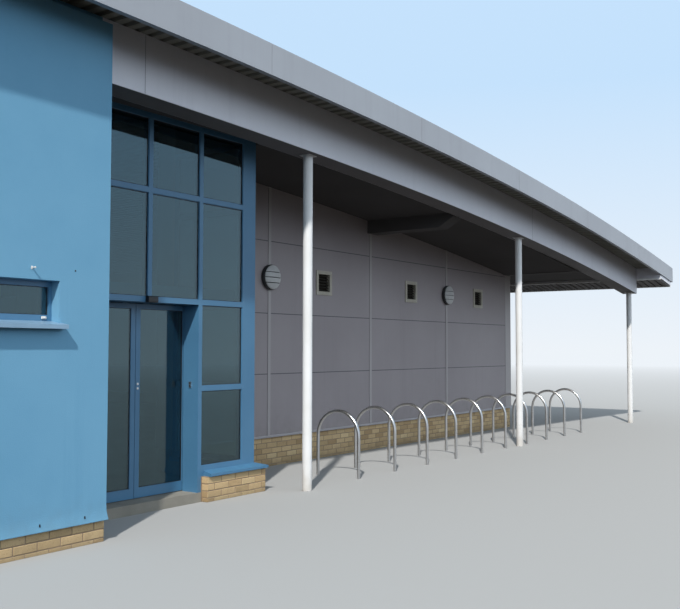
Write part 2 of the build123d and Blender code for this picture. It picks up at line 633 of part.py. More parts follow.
# Wall fittings
def vent_body(x, face_y, depth, inset):
    half_w = VENT_WIDTH / 2 - inset
    half_h = VENT_HEIGHT / 2 - inset
    return block(x - half_w, x + half_w, face_y, face_y + depth, VENT_Z - half_h, VENT_Z + half_h)


def build_vents():
    frames = []
    blades = []
    hole_inset = VENT_FRAME + VENT_LINING
    clear_w = VENT_WIDTH - 2 * hole_inset
    clear_h = VENT_HEIGHT - 2 * hole_inset
    for x in VENT_XS:
        flange = vent_body(x, GREY_Y - VENT_PROUD, VENT_PROUD, 0)
        sleeve = vent_body(x, GREY_Y, VENT_RECESS, VENT_FRAME)
        hole = vent_body(x, GREY_Y - VENT_PROUD, VENT_PROUD + VENT_RECESS, hole_inset)
        frames.append(flange + sleeve - hole)
        for i in range(VENT_BLADES):
            z = VENT_Z - clear_h / 2 + clear_h * (i + 0.5) / VENT_BLADES
            blade = Box(clear_w, BLADE_WIDTH, BLADE_THICK)
            blades.append(Pos(x, GREY_Y + BLADE_WIDTH / 2, z) * Rot(BLADE_TILT, 0, 0) * blade)
    save("vent_frames", *frames)
    save("vent_louvres", *blades)


def bulkhead_light(place):
    low = (Align.CENTER, Align.CENTER, Align.MIN)
    body = Cylinder(LIGHT_DIAMETER / 2, LIGHT_BODY_DEPTH, align=low)
    body = chamfer(body.edges().group_by(Axis.Z)[-1], LIGHT_BODY_BEVEL)
    lens = Pos(0, 0, LIGHT_BODY_DEPTH) * Cylinder(LENS_DIAMETER / 2, LENS_DEPTH, align=low)
    lens = chamfer(lens.edges().group_by(Axis.Z)[-1], LENS_BEVEL)
    return place * body, place * lens


def build_lights():
    places = [Pos(x, GREY_Y - STRIP_THICK, LIGHT_Z) * Rot(90, 0, 0) for x in STRIP_XS[0::2]]
    pairs = [bulkhead_light(place) for place in places]
    save("light_bodies", *[body for body, lens in pairs])
    save("light_lenses", *[lens for body, lens in pairs])


def strip_xz(x, face_y, outward, crown, shift=0):
    ys = sorted((face_y, face_y + outward * STRIP_THICK))
    return arched_block(x - STRIP_WIDTH / 2, x + STRIP_WIDTH / 2, *ys, PANEL_LOW_Z, crown, shift)


def strip_yz(y, face_x, outward, top_z):
    xs = sorted((face_x, face_x + outward * STRIP_THICK))
    return block(*xs, y - STRIP_WIDTH / 2, y + STRIP_WIDTH / 2, PANEL_LOW_Z, top_z)


def build_cover_strips():
    under_beam = cross_beams()[0]
    strips = [strip_xz(x, GREY_Y, -1, CEILING_CROWN, CEILING_SHIFT) - under_beam for x in STRIP_XS]
    strips += [strip_yz(y, RIGHT_WALL_X, 1, WALK_CEILING_Z) for y in SIDE_STRIP_YS]
    strips += [strip_yz(y, LEFT_WALL_X, -1, EAVES_INNER_Z - STRIP_THICK) for y in SIDE_STRIP_YS]
    strips += [strip_xz(x, BACK_Y, 1, DECK_SOFFIT_CROWN) for x in BACK_STRIP_XS]
    save("wall_cover_strips", *strips)


# Door fittings
def build_door_fittings():
    sensor_z = TRANSOMS_Z[0] + MULLION / 2
    sensor_x = DOOR_CENTRE_X - SENSOR_SHIFT
    sensor = block(
        sensor_x - SENSOR_LENGTH / 2, sensor_x + SENSOR_LENGTH / 2,
        GLAZING_Y - SENSOR_DEPTH, GLAZING_Y, sensor_z - SENSOR_HEIGHT / 2, sensor_z + SENSOR_HEIGHT / 2,
    )
    save("door_sensor", fillet(sensor.edges().filter_by(Axis.X).group_by(Axis.Y)[0], SENSOR_ROUND))
    face_x = DOOR_RIGHT_X - MULLION
    switch_y = GLAZING_BACK_Y + SWITCH_INSET + SWITCH_WIDTH / 2
    save("key_switch", block(
        face_x - SWITCH_DEPTH, face_x, switch_y - SWITCH_WIDTH / 2, switch_y + SWITCH_WIDTH / 2,
        FITTING_Z - SWITCH_HEIGHT / 2, FITTING_Z + SWITCH_HEIGHT / 2,
    ))
    lock_x = DOOR_CENTRE_X + MEETING_GAP + LEAF_STILE / 2
    lock = Pos(lock_x, LEAF_Y - LOCK_DEPTH / 2, FITTING_Z) * Box(LOCK_WIDTH, LOCK_DEPTH, LOCK_HEIGHT)
    save("right_door_lock", chamfer(lock.edges().filter_by(Axis.Y), LOCK_CORNER))


# Cycle hoops
def build_hoops():
    """Bent tubes with both feet on the ground, drawn with flats so that the row stays light."""
    radius = HOOP_WIDTH / 2
    y0 = FRONT_Y + HOOP_FRONT_SETBACK
    middle = y0 + radius
    spring = HOOP_HEIGHT - radius
    turns = [radians(180 - 180 * i / HOOP_BEND_PARTS) for i in range(HOOP_BEND_PARTS + 1)]
    bend = [(middle + radius * cos(turn), spring + radius * sin(turn)) for turn in turns]
    hoops = []
    for i in range(HOOP_COUNT):
        x = BLUE_CORNER_X + FIRST_HOOP_PLACE + HOOP_PITCH * i
        points = [(x, y0, 0)] + [(x, y, z) for y, z in bend] + [(x, y0 + HOOP_WIDTH, 0)]
        section = Plane((x, y0, 0)) * RegularPolygon(HOOP_TUBE / 2, HOOP_SIDES)
        hoops.append(sweep(section, Polyline(*points), transition=Transition.RIGHT))
    save("cycle_hoops", *hoops)


build_floor()
build_plinths()
build_walls()
build_windows()
build_entrance()
build_doors()
build_door_fittings()
build_canopy()
build_columns()
build_vents()
build_lights()
build_cover_strips()
build_hoops()
build_roof()
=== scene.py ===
# Finishes and fine pieces of the sports centre, in metres: X along the front, Y into the building, Z up
import json
import math

import bmesh
import bpy
from mathutils import Matrix, Vector


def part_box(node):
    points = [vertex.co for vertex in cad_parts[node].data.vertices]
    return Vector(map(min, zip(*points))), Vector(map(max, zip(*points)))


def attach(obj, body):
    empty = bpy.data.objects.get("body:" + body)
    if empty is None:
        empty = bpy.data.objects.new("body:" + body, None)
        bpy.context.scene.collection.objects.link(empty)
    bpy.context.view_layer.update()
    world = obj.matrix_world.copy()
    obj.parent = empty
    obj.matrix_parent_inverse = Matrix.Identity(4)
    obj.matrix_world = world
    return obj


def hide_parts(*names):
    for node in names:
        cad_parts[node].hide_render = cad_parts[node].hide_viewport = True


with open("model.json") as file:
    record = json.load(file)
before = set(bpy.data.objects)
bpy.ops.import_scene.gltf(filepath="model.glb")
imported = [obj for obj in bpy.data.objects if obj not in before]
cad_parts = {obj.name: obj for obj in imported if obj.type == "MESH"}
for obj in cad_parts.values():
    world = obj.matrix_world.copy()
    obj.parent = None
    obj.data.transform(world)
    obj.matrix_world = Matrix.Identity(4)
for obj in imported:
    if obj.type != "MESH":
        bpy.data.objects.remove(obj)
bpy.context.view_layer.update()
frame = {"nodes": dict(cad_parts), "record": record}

# Camera, worked out from the vanishing lines of the photograph
IMAGE_WIDTH = 680
FOCAL_PIXELS = 903.89
SENSOR = 36.0
CAMERA_PLACE = Vector((-3.050, -15.171, 1.659))
CAMERA_YAW = math.radians(35.261)
CAMERA_PITCH = math.radians(2.787)
CAMERA_ROLL = math.radians(0.09)

# Light
SUN_TRAVEL = Vector((0.80, 0.44, -0.84))
SUN_STRENGTH = 4.05
SUN_ANGLE = math.radians(1.6)
SUN_COLOUR = (1.0, 0.97, 0.92)
SKY_LOW_STRENGTH = 1.45
SKY_HIGH_STRENGTH = 0.49
HORIZON_SHARE = 0.20
FILL_COLOUR = (0.78, 0.91, 1.04, 1.0)
FRONT_FILL = 1.34
BACK_FILL = 0.88
HORIZON = (0.85, 0.90, 0.95, 1.0)
HIGH_SKY = (0.56, 0.76, 0.98, 1.0)
FLOOR_SEEN = (0.37, 0.37, 0.365, 1.0)
FLOOR_BOUNCE = (0.060, 0.054, 0.047, 1.0)
FLOOR_REACH = 300.0
FLOOR_Z = -0.001
FLOOR_FADE_START = 22.0
FLOOR_FADE_END = 90.0

# Bands in which the sky changes, as the upward or inward share of a direction
BACKDROP_BAND = (0.0, 0.28)
HORIZON_BAND = (0.04, 0.16)
FILL_BAND = (0.30, 0.80)
FACING_BAND = (-0.9, 0.5)

# Finish of every wall's inner faces
PLASTER = (0.62, 0.61, 0.57, 1.0)

# Roof arc and sheeting
ROOF_RADIUS = 134.0
DECK_PITCH = 0.154
DECK_RIB = 0.036
DECK_RIB_SLOPE = 0.10
DECK_RIB_CREST = 0.27
DECK_THICK = 0.075
SEAM_PITCH = 0.5
SEAM_WIDTH = 0.045
SEAM_END_GAP = 0.15
SEAM_INTO_ROOF = 0.002
SEAM_STEPS = 96
VERGE_DEPTH = 0.32
VERGE_JOINT_PITCH = 3.0
VERGE_JOINT_FIRST = 3.89
BEAM_DEPTH = 0.565
BEAM_JOINT_PLACES = (0.51, 9.48)
SHEET_JOINT_WIDTH = 0.0044
SHEET_JOINT_PROUD = 0.0012
SHEET_JOINT_END_GAP = 0.001
SOFFIT_STEPS = 60
SOFFIT_SHEET = 0.0025
SOFFIT_END_GAP = 0.004
SOFFIT_EDGE_GAP = 0.006
SOFFIT_INTO_BEAM = 0.0008
SPLAY_RUN = 0.26

# Sloping eaves
SIDE_WALK_WIDTH = 2.61
EAVES_INNER_DEPTH = 0.231
EAVES_OUTER_DEPTH = 0.247
SOFFIT_RIB = 0.030
SOFFIT_RIB_ROOT = 0.118
SOFFIT_RIB_FOOT = 0.100
SOFFIT_SKIN = 0.002
SOFFIT_SKIN_GAP = 0.01
SOFFIT_TRIM = 0.028
SOFFIT_TRIM_LAP = 0.004
INTO_WALL = 0.001

# Brickwork
BRICK_LENGTH = 0.215
BRICK_HEIGHT = 0.065
BRICK_JOINT = 0.010
BRICK_BEVEL = 0.0025
BRICK_PROUD = 0.004
BRICK_INTO_WALL = 0.02
BRICK_NUDGE = Vector((0.001, 0.0012, 0.001))
SLIVER_LENGTH = 0.03
SLIVER_HEIGHT = 0.015
FIRST_SEED = 3
LOBBY_PLINTH_START = 0.022

# Joints and flashings of the grey walls
JOINT_HEIGHTS = (1.298, 2.156, 3.184)
JOINT_WIDTH = 0.011
JOINT_PROUD = 0.0015
FLASHING_WIDTH = 0.264
FLASHING_PROUD = 0.003
FLASHING_END_GAP = 0.002

# Drip flashing in section: pairs of distance out from the wall and height over the wall's foot
DRIP_SECTION = ((-0.001, 0.028), (0.002, 0.028), (0.020, 0.003), (0.020, -0.004), (-0.001, -0.004))

# Foot of the render, with its weep slots, and the plug and the hook above it
FLARE_OUT = 0.014
FLARE_HEIGHT = 0.125
FLARE_LIP = 0.004
FLARE_DROP = 0.001
FLARE_THICK = 0.0005
FLARE_INTO_WALL = 0.002
FLARE_STEPS = 6
WEEP_FIRST = 0.234
WEEP_PITCH = 0.445
WEEP_WIDTH = 0.008
WEEP_LOW = 0.042
WEEP_HIGH = 0.064
WEEP_PROUD = 0.0125
PLUG_PLACE = Vector((1.837, 0.0, 2.305))
HOOK_PLACE = Vector((1.411, 0.0, 2.302))
HOOK_PLATE = ((-0.009, -0.004, -0.013), (0.009, 0.002, 0.013))
HOOK_PLATE_BEVEL = 0.002
HOOK_PEG_START = 0.003

# Small turned pieces, as pairs of radius and distance from the face, below zero outwards
PLUG_PROFILE = ((0.007, 0.002), (0.007, -0.002), (0.004, -0.003))
HOOK_PEG_PROFILE = ((0.005, 0.0), (0.005, -0.034), (0.008, -0.037), (0.008, -0.042), (0.004, -0.045))
SCREW_PROFILE = ((0.006, 0.001), (0.006, -0.0015), (0.0035, -0.003))
LOCK_COVER_PROFILE = ((0.013, 0.0), (0.013, -0.006), (0.010, -0.008))
SWITCH_BARREL_PROFILE = ((0.009, 0.001), (0.009, -0.004), (0.006, -0.005))

# Small fittings
HEAD_PLATE = 0.150
HEAD_PLATE_BELOW = 0.012
HEAD_PLATE_ABOVE = 0.004
HEAD_PLATE_BEVEL = 0.0015
LIGHT_DOME = 0.032
LIGHT_GAPS = (0.27, 0.49, 0.71)
LIGHT_GAP = 0.012
LIGHT_RIM = 0.008
LIGHT_TIP = 0.006
LIGHT_MARGIN = 0.01
VENT_SCREEN_INSET = 0.05
VENT_SCREEN_HEAD_INSET = 0.04
VENT_SCREEN_DEPTH = 0.064
VENT_SCREEN_THICK = 0.004
VENT_SCREW_INSET = 0.026
LOCK_COVER_OFFSET = 0.023
SWITCH_BARREL_OFFSET = 0.016
CATCH_FROM_END = 0.079
CATCH_RISE = 0.050
CATCH_BASE = ((-0.025, -0.010, -0.012), (0.025, 0.001, 0.012))
CATCH_GRIP = ((-0.018, -0.026, -0.007), (0.010, -0.009, 0.009))
CATCH_BEVEL = 0.004

# Cycle hoops
HOOP_TUBE = 0.0424
HOOP_STEPS = 44

# Glazing
GASKET_WIDTH = 0.010
GASKET_PROUD = 0.004
BEAD_WIDTH = 0.005
BEAD_PROUD = 0.009

# Places taken from the solids
blue_low, blue_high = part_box("blue_front_wall")
return_low, return_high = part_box("blue_return_wall")
grey_low, grey_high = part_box("grey_front_wall")
right_low, right_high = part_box("grey_right_wall")
left_low, left_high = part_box("grey_left_wall")
back_low, back_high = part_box("grey_back_wall")
deck_low, deck_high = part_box("roof_deck")
verge_low, verge_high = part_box("verge_fascias")
FRONT_Y = blue_low.y
GREY_Y = grey_low.y
GLAZING_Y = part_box("entrance_right_frame")[0].y
DECK_TOP = deck_high.z
DECK_SOFFIT = DECK_TOP - DECK_THICK
BEAM_FOOT = DECK_SOFFIT - BEAM_DEPTH
VERGE_TOP = verge_high.z


def roof_z(crown, x):
    """The height at x of the roof arc with its crown at a height."""
    return crown - ROOF_RADIUS + math.sqrt(ROOF_RADIUS**2 - x**2)


def islands(name):
    """The boxes of the separate solids of a CAD node."""
    copy = bmesh.new()
    copy.from_mesh(frame["nodes"][name].data)
    bmesh.ops.remove_doubles(copy, verts=copy.verts, dist=1e-5)
    seen = set()
    boxes = []
    for start in copy.verts:
        if start in seen:
            continue
        group = [start]
        seen.add(start)
        for vert in group:
            for edge in vert.link_edges:
                other = edge.other_vert(vert)
                if other not in seen:
                    seen.add(other)
                    group.append(other)
        low = Vector(min(vert.co[i] for vert in group) for i in range(3))
        high = Vector(max(vert.co[i] for vert in group) for i in range(3))
        boxes.append((low, high))
    copy.free()
    return boxes


# Node helpers
def node(tree, kind, values=None, **settings):
    """Adds a node. A value that is a socket is linked, and any other is set."""
    made = tree.nodes.new(kind)
    for key, value in settings.items():
        setattr(made, key, value)
    for key, value in (values or {}).items():
        if isinstance(value, bpy.types.NodeSocket):
            tree.links.new(value, made.inputs[key])
        else:
            made.inputs[key].default_value = value
    return made


def maths(tree, operation, first, second=0.0, clamp=False):
    made = node(tree, "ShaderNodeMath", {0: first, 1: second}, operation=operation, use_clamp=clamp)
    return made.outputs[0]


def mix_value(tree, share, low, high):
    difference = maths(tree, "SUBTRACT", high, low)
    return maths(tree, "ADD", low, maths(tree, "MULTIPLY", difference, share))


def new_group(name, kind, inputs, outputs):
    """A node group with named sockets. Returns it with its input node and a function that sets an output."""
    group = bpy.data.node_groups.new(name, kind)
    for title, (socket, start) in inputs.items():
        made = group.interface.new_socket(title, in_out="INPUT", socket_type="NodeSocket" + socket)
        if start is not None:
            made.default_value = start
    for title, socket in outputs.items():
        group.interface.new_socket(title, in_out="OUTPUT", socket_type="NodeSocket" + socket)
    entry = group.nodes.new("NodeGroupInput")
    leave = group.nodes.new("NodeGroupOutput")

    def put(title, socket):
        group.links.new(socket, leave.inputs[title])

    return group, entry.outputs, put


def use(tree, group, values):
    """Places a node group with its own values."""
    return node(tree, "ShaderNodeGroup", values, node_tree=group).outputs


def mix_colour(tree, mask, first, second):
    return node(tree, "ShaderNodeMix", {0: mask, 6: first, 7: second}, data_type="RGBA").outputs[2]


def range_map(tree, value, low, high, to_low=0.0, to_high=1.0):
    values = {0: value, 1: low, 2: high, 3: to_low, 4: to_high}
    return node(tree, "ShaderNodeMapRange", values, clamp=True).outputs[0]


def noise(tree, place, scale, detail, **values):
    """Smooth noise from 0 to 1."""
    values = {"Vector": place, "Scale": scale, "Detail": detail, **values}
    return node(tree, "ShaderNodeTexNoise", values).outputs[0]


def object_place(tree):
    return node(tree, "ShaderNodeTexCoord").outputs["Object"]


def parts(tree, vector):
    """The X, Y and Z of a vector."""
    return node(tree, "ShaderNodeSeparateXYZ", {0: vector}).outputs


def rgb(red, green, blue):
    return (red, green, blue, 1.0)


def from_srgb(red, green, blue):
    """A colour read as 0 to 255, made linear."""
    def linear(value):
        share = value / 255
        return share / 12.92 if share <= 0.04045 else ((share + 0.055) / 1.055) ** 2.4
    return rgb(linear(red), linear(green), linear(blue))


# Shared effects
def make_weathering():
    """Soft patches and vertical rain streaks over a colour."""
    group, given, put = new_group(
        "weathering", "ShaderNodeTree",
        {"Colour": ("Color", rgb(0.5, 0.5, 0.5)), "Soiled": ("Color", rgb(0.3, 0.3, 0.3)),
         "Patch Size": ("Float", 1.0), "Patches": ("Float", 0.3), "Streaks": ("Float", 0.2)},
        {"Colour": "Color", "Mask": "Float"},
    )
    place = object_place(group)
    scale = maths(group, "DIVIDE", 1.0, given["Patch Size"])
    patch = range_map(group, noise(group, place, scale, 5.0, Roughness=0.62), 0.38, 0.68)
    drawn = node(group, "ShaderNodeMapping", {"Vector": place, "Scale": (1.0, 1.0, 0.06)}).outputs[0]
    streak = range_map(group, noise(group, drawn, 5.5, 4.0, Roughness=0.7), 0.52, 0.74)
    patch = maths(group, "MULTIPLY", patch, given["Patches"])
    streak = maths(group, "MULTIPLY", streak, given["Streaks"])
    mask = maths(group, "ADD", patch, streak, clamp=True)
    put("Colour", mix_colour(group, mask, given["Colour"], given["Soiled"]))
    put("Mask", mask)
    return group


def make_splash():
    """Dirt that rain splashes up from the ground."""
    group, given, put = new_group(
        "ground_splash", "ShaderNodeTree",
        {"Colour": ("Color", rgb(0.5, 0.5, 0.5)), "Dirt": ("Color", rgb(0.2, 0.18, 0.15)),
         "Height": ("Float", 0.3), "Strength": ("Float", 0.5)},
        {"Colour": "Color"},
    )
    place = object_place(group)
    share = maths(group, "DIVIDE", parts(group, place)[2], given["Height"])
    ragged = maths(group, "SUBTRACT", noise(group, place, 9.0, 5.0), 0.5)
    fade = maths(group, "SUBTRACT", 1.0, maths(group, "ADD", share, ragged), clamp=True)
    mask = maths(group, "MULTIPLY", maths(group, "POWER", fade, 1.6), given["Strength"])
    put("Colour", mix_colour(group, mask, given["Colour"], given["Dirt"]))
    return group


def make_relief():
    """Fine and broad unevenness of a surface, as a normal."""
    group, given, put = new_group(
        "surface_relief", "ShaderNodeTree",
        {"Grain Size": ("Float", 0.004), "Grain Depth": ("Float", 0.0006),
         "Wave Size": ("Float", 0.8), "Wave Depth": ("Float", 0.001)},
        {"Normal": "Vector"},
    )
    place = object_place(group)
    fine = noise(group, place, maths(group, "DIVIDE", 1.0, given["Grain Size"]), 3.0)
    broad = noise(group, place, maths(group, "DIVIDE", 1.0, given["Wave Size"]), 1.0)
    height = maths(
        group, "ADD", maths(group, "MULTIPLY", fine, given["Grain Depth"]),
        maths(group, "MULTIPLY", broad, given["Wave Depth"]),
    )
    bump = node(group, "ShaderNodeBump", {"Strength": 1.0, "Distance": 1.0, "Height": height})
    put("Normal", bump.outputs[0])
    return group


def make_indoors():
    """1 on faces that look into the building, found from their place in plan."""
    group, given, put = new_group(
        "indoors", "ShaderNodeTree", {"Margin": ("Float", 0.006)}, {"Mask": "Float"}
    )
    across, inward, _ = parts(group, object_place(group))

    def within(value, low, high):
        above = maths(group, "GREATER_THAN", value, maths(group, "SUBTRACT", low, given["Margin"]))
        below = maths(group, "LESS_THAN", value, maths(group, "ADD", high, given["Margin"]))
        return maths(group, "MULTIPLY", above, below)

    def room(right, front):
        return maths(
            group, "MULTIPLY", within(across, left_high.x, right), within(inward, front, back_low.y)
        )

    put("Mask", maths(group, "MAXIMUM", room(right_low.x, grey_high.y), room(return_low.x, blue_high.y)))
    return group


weathering = make_weathering()
splash = make_splash()
relief = make_relief()
indoors = make_indoors()


# Materials
def new_material(name, colour=None, **sockets):
    material = bpy.data.materials.new(name)
    material.use_nodes = True
    tree = material.node_tree
    shader = tree.nodes["Principled BSDF"]
    if colour is not None:
        shader.inputs["Base Color"].default_value = colour
    for key, value in sockets.items():
        shader.inputs[key.replace("_", " ")].default_value = value
    return material, tree, shader


def feed(tree, shader, **sockets):
    for key, socket in sockets.items():
        tree.links.new(socket, shader.inputs[key.replace("_", " ")])


def painted(name, colour, soiled, roughness, patch_size=1.5, patches=0.25, streaks=0.12, grain=0.0025,
            grain_depth=0.00008, wave_size=1.1, wave_depth=0.0008, splash_height=0.0, dirt=None, gloss=0.5):
    """Coated sheet metal or render: weathered colour, ragged gloss and slight unevenness.

    Colours are read as 0 to 255, and sizes are in metres."""
    material, tree, shader = new_material(name, Specular_IOR_Level=gloss)
    worn = use(tree, weathering, {
        "Colour": from_srgb(*colour), "Soiled": from_srgb(*soiled), "Patch Size": patch_size,
        "Patches": patches, "Streaks": streaks,
    })
    finish = worn["Colour"]
    if splash_height:
        finish = use(tree, splash, {
            "Colour": finish, "Dirt": from_srgb(*dirt), "Height": splash_height, "Strength": 0.55,
        })["Colour"]
    rough = maths(tree, "ADD", roughness, maths(tree, "MULTIPLY", worn["Mask"], 0.25), clamp=True)
    bumps = use(tree, relief, {
        "Grain Size": grain, "Grain Depth": grain_depth, "Wave Size": wave_size, "Wave Depth": wave_depth,
    })["Normal"]
    feed(tree, shader, Base_Color=finish, Roughness=rough, Normal=bumps)
    return material


def plastered_indoors(material):
    """Gives the inner faces of a wall a plain plaster finish."""
    tree = material.node_tree
    base = tree.nodes["Principled BSDF"].inputs["Base Color"]
    outside = base.links[0].from_socket
    inside = use(tree, indoors, {})["Mask"]
    tree.links.new(mix_colour(tree, inside, outside, PLASTER), base)
    return material


def brick_material():
    """Buff stock bricks: each has its own tone, with darker specks and a sandy face."""
    material, tree, shader = new_material("buff_brick", Roughness=0.9)
    tone = node(tree, "ShaderNodeAttribute", attribute_name="brick_tone", attribute_type="GEOMETRY")
    ramp = node(tree, "ShaderNodeValToRGB", {0: tone.outputs["Fac"]})
    stops = ramp.color_ramp.elements
    stops[0].color = from_srgb(164, 137, 100)
    stops[1].color = from_srgb(212, 187, 144)
    for share, colour in ((0.3, (191, 163, 122)), (0.6, (199, 172, 131)), (0.85, (175, 149, 110))):
        stops.new(share).color = from_srgb(*colour)
    specks = range_map(tree, noise(tree, object_place(tree), 70.0, 6.0), 0.56, 0.72, 0.0, 0.55)
    colour = mix_colour(tree, specks, ramp.outputs[0], from_srgb(136, 108, 70))
    colour = use(tree, splash, {
        "Colour": colour, "Dirt": from_srgb(112, 98, 74), "Height": 0.22, "Strength": 0.5,
    })["Colour"]
    bumps = use(tree, relief, {
        "Grain Size": 0.004, "Grain Depth": 0.0012, "Wave Size": 0.06, "Wave Depth": 0.002,
    })["Normal"]
    feed(tree, shader, Base_Color=colour, Normal=bumps)
    return material


def glass_material():
    material, _, _ = new_material(
        "glass", rgb(0.16, 0.28, 0.30), Roughness=0.0, Metallic=0.0, IOR=1.9, Transmission_Weight=1.0,
        Specular_Tint=rgb(0.62, 0.88, 1.0),
    )
    return material


def brushed_material(name, colour, roughness, direction):
    """Stainless steel with fine lines, stretched along the axis whose scale is small."""
    material, tree, shader = new_material(name, Metallic=1.0)
    drawn = node(tree, "ShaderNodeMapping", {"Vector": object_place(tree), "Scale": direction}).outputs[0]
    lines = noise(tree, drawn, 60.0, 3.0)
    tone = mix_colour(tree, range_map(tree, lines, 0.35, 0.65, 0.0, 0.2), colour, rgb(0.34, 0.34, 0.35))
    rough = range_map(tree, lines, 0.3, 0.7, roughness - 0.05, roughness + 0.1)
    feed(tree, shader, Base_Color=tone, Roughness=rough)
    return material


def plastic_material(name, colour, roughness):
    material, tree, shader = new_material(name, colour)
    bumps = use(tree, relief, {
        "Grain Size": 0.0012, "Grain Depth": 0.00005, "Wave Size": 0.3, "Wave Depth": 0.0,
    })["Normal"]
    worn = use(tree, weathering, {
        "Colour": colour, "Soiled": rgb(*(share * 0.7 for share in colour[:3])), "Patch Size": 0.08,
        "Patches": 0.3, "Streaks": 0.1,
    })
    rough = maths(tree, "ADD", roughness, maths(tree, "MULTIPLY", worn["Mask"], 0.3), clamp=True)
    feed(tree, shader, Base_Color=worn["Colour"], Roughness=rough, Normal=bumps)
    return material


materials = {
    "blue_render": plastered_indoors(painted(
        "blue_render", (104, 153, 182), (82, 134, 166), 0.88, patch_size=1.3, patches=0.30, streaks=0.22,
        grain=0.010, grain_depth=0.0012, wave_size=0.7, wave_depth=0.003, splash_height=0.45,
        dirt=(96, 122, 134), gloss=0.3,
    )),
    "buff_brick": painted(
        "mortar", (148, 130, 108), (112, 96, 78), 0.93, patch_size=0.15, patches=0.5, streaks=0.1,
        grain=0.003, grain_depth=0.0012, wave_size=0.05, wave_depth=0.0015,
    ),
    "grey_panel": plastered_indoors(painted(
        "grey_panel", (153, 145, 147), (135, 127, 129), 0.46, patch_size=1.8, patches=0.3, streaks=0.16,
        splash_height=0.8, dirt=(120, 114, 108), gloss=0.28,
    )),
    "strip_metal": painted("strip_metal", (166, 160, 160), (150, 144, 144), 0.40, patch_size=0.7, gloss=0.3),
    "blue_frame": painted("blue_frame", (70, 115, 147), (55, 98, 131), 0.34, patch_size=0.5, patches=0.35),
    "glass": glass_material(),
    "sill_metal": painted("sill_metal", (126, 156, 179), (104, 134, 158), 0.30, patch_size=0.3, patches=0.4),
    "ceiling_metal": painted(
        "ceiling_metal", (84, 82, 82), (72, 70, 70), 0.85, patch_size=1.6, streaks=0.0, gloss=0.08
    ),
    "lock_steel": brushed_material("lock_steel", rgb(0.66, 0.66, 0.66), 0.28, (0.2, 1.0, 4.0)),
    "black_plastic": plastic_material("black_plastic", rgb(0.010, 0.010, 0.012), 0.4),
    # beam_metal is paler than the verge's copy of the same metal: the paler paint is painted light for the
    # beam, which stands in the verge's shade
    "beam_metal": painted(
        "beam_metal", (216, 216, 223), (198, 198, 206), 0.38, patch_size=1.6, patches=0.35, streaks=0.25,
        gloss=0.35,
    ),
    "column_paint": painted(
        "column_paint", (222, 222, 222), (196, 194, 188), 0.32, patch_size=0.4, patches=0.3,
        splash_height=0.5, dirt=(176, 168, 156),
    ),
    "deck_metal": painted("deck_metal", (136, 135, 128), (114, 113, 106), 0.7, patch_size=0.9, gloss=0.12),
    "roof_metal": painted("roof_metal", (160, 162, 166), (136, 138, 140), 0.42, patch_size=2.2, patches=0.45),
    "light_body": plastic_material("light_body", from_srgb(44, 44, 46), 0.5),
    "light_lens": plastic_material("light_lens", from_srgb(180, 179, 178), 0.35),
    "vent_metal": painted(
        "vent_metal", (176, 169, 156), (148, 141, 128), 0.5, patch_size=0.1, patches=0.4, gloss=0.25
    ),
    "louvre_metal": painted(
        "louvre_metal", (56, 53, 47), (44, 42, 37), 0.6, patch_size=0.1, patches=0.5, gloss=0.1
    ),
    "hoop_steel": brushed_material("hoop_steel", rgb(0.56, 0.55, 0.54), 0.30, (1.0, 1.0, 0.15)),
    "concrete": painted(
        "concrete", (140, 136, 126), (108, 104, 96), 0.8, patch_size=0.6, patches=0.6, streaks=0.0,
        grain=0.006, grain_depth=0.0008,
    ),
}
buff_brick = brick_material()
# A darker copy of beam_metal for the sunlit verge and eaves fascias: one metal split into lit and shaded
# copies, which is painted light and shade
verge_metal_lit_copy = painted(
    "verge_metal_lit_copy", (154, 158, 165), (137, 140, 147), 0.40, patch_size=1.8, patches=0.35, streaks=0.25,
    gloss=0.3,
)
cross_beam_metal = painted(
    "cross_beam_metal", (94, 92, 92), (82, 80, 80), 0.85, patch_size=1.6, streaks=0.0, gloss=0.08
)
# Grey under the eaves boxes and the boxed beams, darker than their own pale metal: painted shade on their
# undersides
underside_shade_metal = painted("underside_shade_metal", (122, 119, 120), (100, 98, 99), 0.6, patch_size=0.9, gloss=0.12)
gasket_rubber = plastic_material("gasket_rubber", rgb(0.012, 0.012, 0.013), 0.6)
white_plastic = plastic_material("white_plastic", rgb(0.62, 0.62, 0.60), 0.35)
joint_sealant = plastic_material("joint_sealant", from_srgb(84, 82, 88), 0.7)
sheet_edge = plastic_material("sheet_edge", from_srgb(124, 125, 132), 0.6)

for record_part in frame["record"]["subparts"]:
    shown = frame["nodes"][record_part["node"]]
    shown.data.materials.clear()
    shown.data.materials.append(materials[record_part["material_slot"]])
# The sunlit fascias take the darker copy of the beam's metal, as painted light
for name in ("verge_fascias", "eaves_fascias"):
    frame["nodes"][name].data.materials[0] = verge_metal_lit_copy


# Pieces
def add_piece(name, meshes, material, body="root", replaces=()):
    """Joins meshes into one named piece that rides on a body."""
    joined = bmesh.new()
    for mesh in meshes:
        joined.from_mesh(mesh)
    whole = bpy.data.meshes.new(name)
    joined.to_mesh(whole)
    joined.free()
    whole.materials.clear()
    whole.materials.append(material)
    piece = bpy.data.objects.new(name, whole)
    bpy.context.scene.collection.objects.link(piece)
    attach(piece, body)
    if replaces:
        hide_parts(*replaces)
    for mesh in meshes:
        bpy.data.meshes.remove(mesh)


def as_mesh(shape):
    mesh = bpy.data.meshes.new("shape")
    shape.to_mesh(mesh)
    shape.free()
    return mesh


def lofted_mesh(rings):
    """A closed shape through rings of places, each with the same number of corners."""
    shape = bmesh.new()
    rows = [[shape.verts.new(place) for place in ring] for ring in rings]
    for row, following in zip(rows, rows[1:]):
        for i in range(len(row)):
            j = (i + 1) % len(row)
            shape.faces.new((row[i], row[j], following[j], following[i]))
    shape.faces.new(rows[0])
    shape.faces.new(rows[-1])
    bmesh.ops.recalc_face_normals(shape, faces=shape.faces)
    return as_mesh(shape)


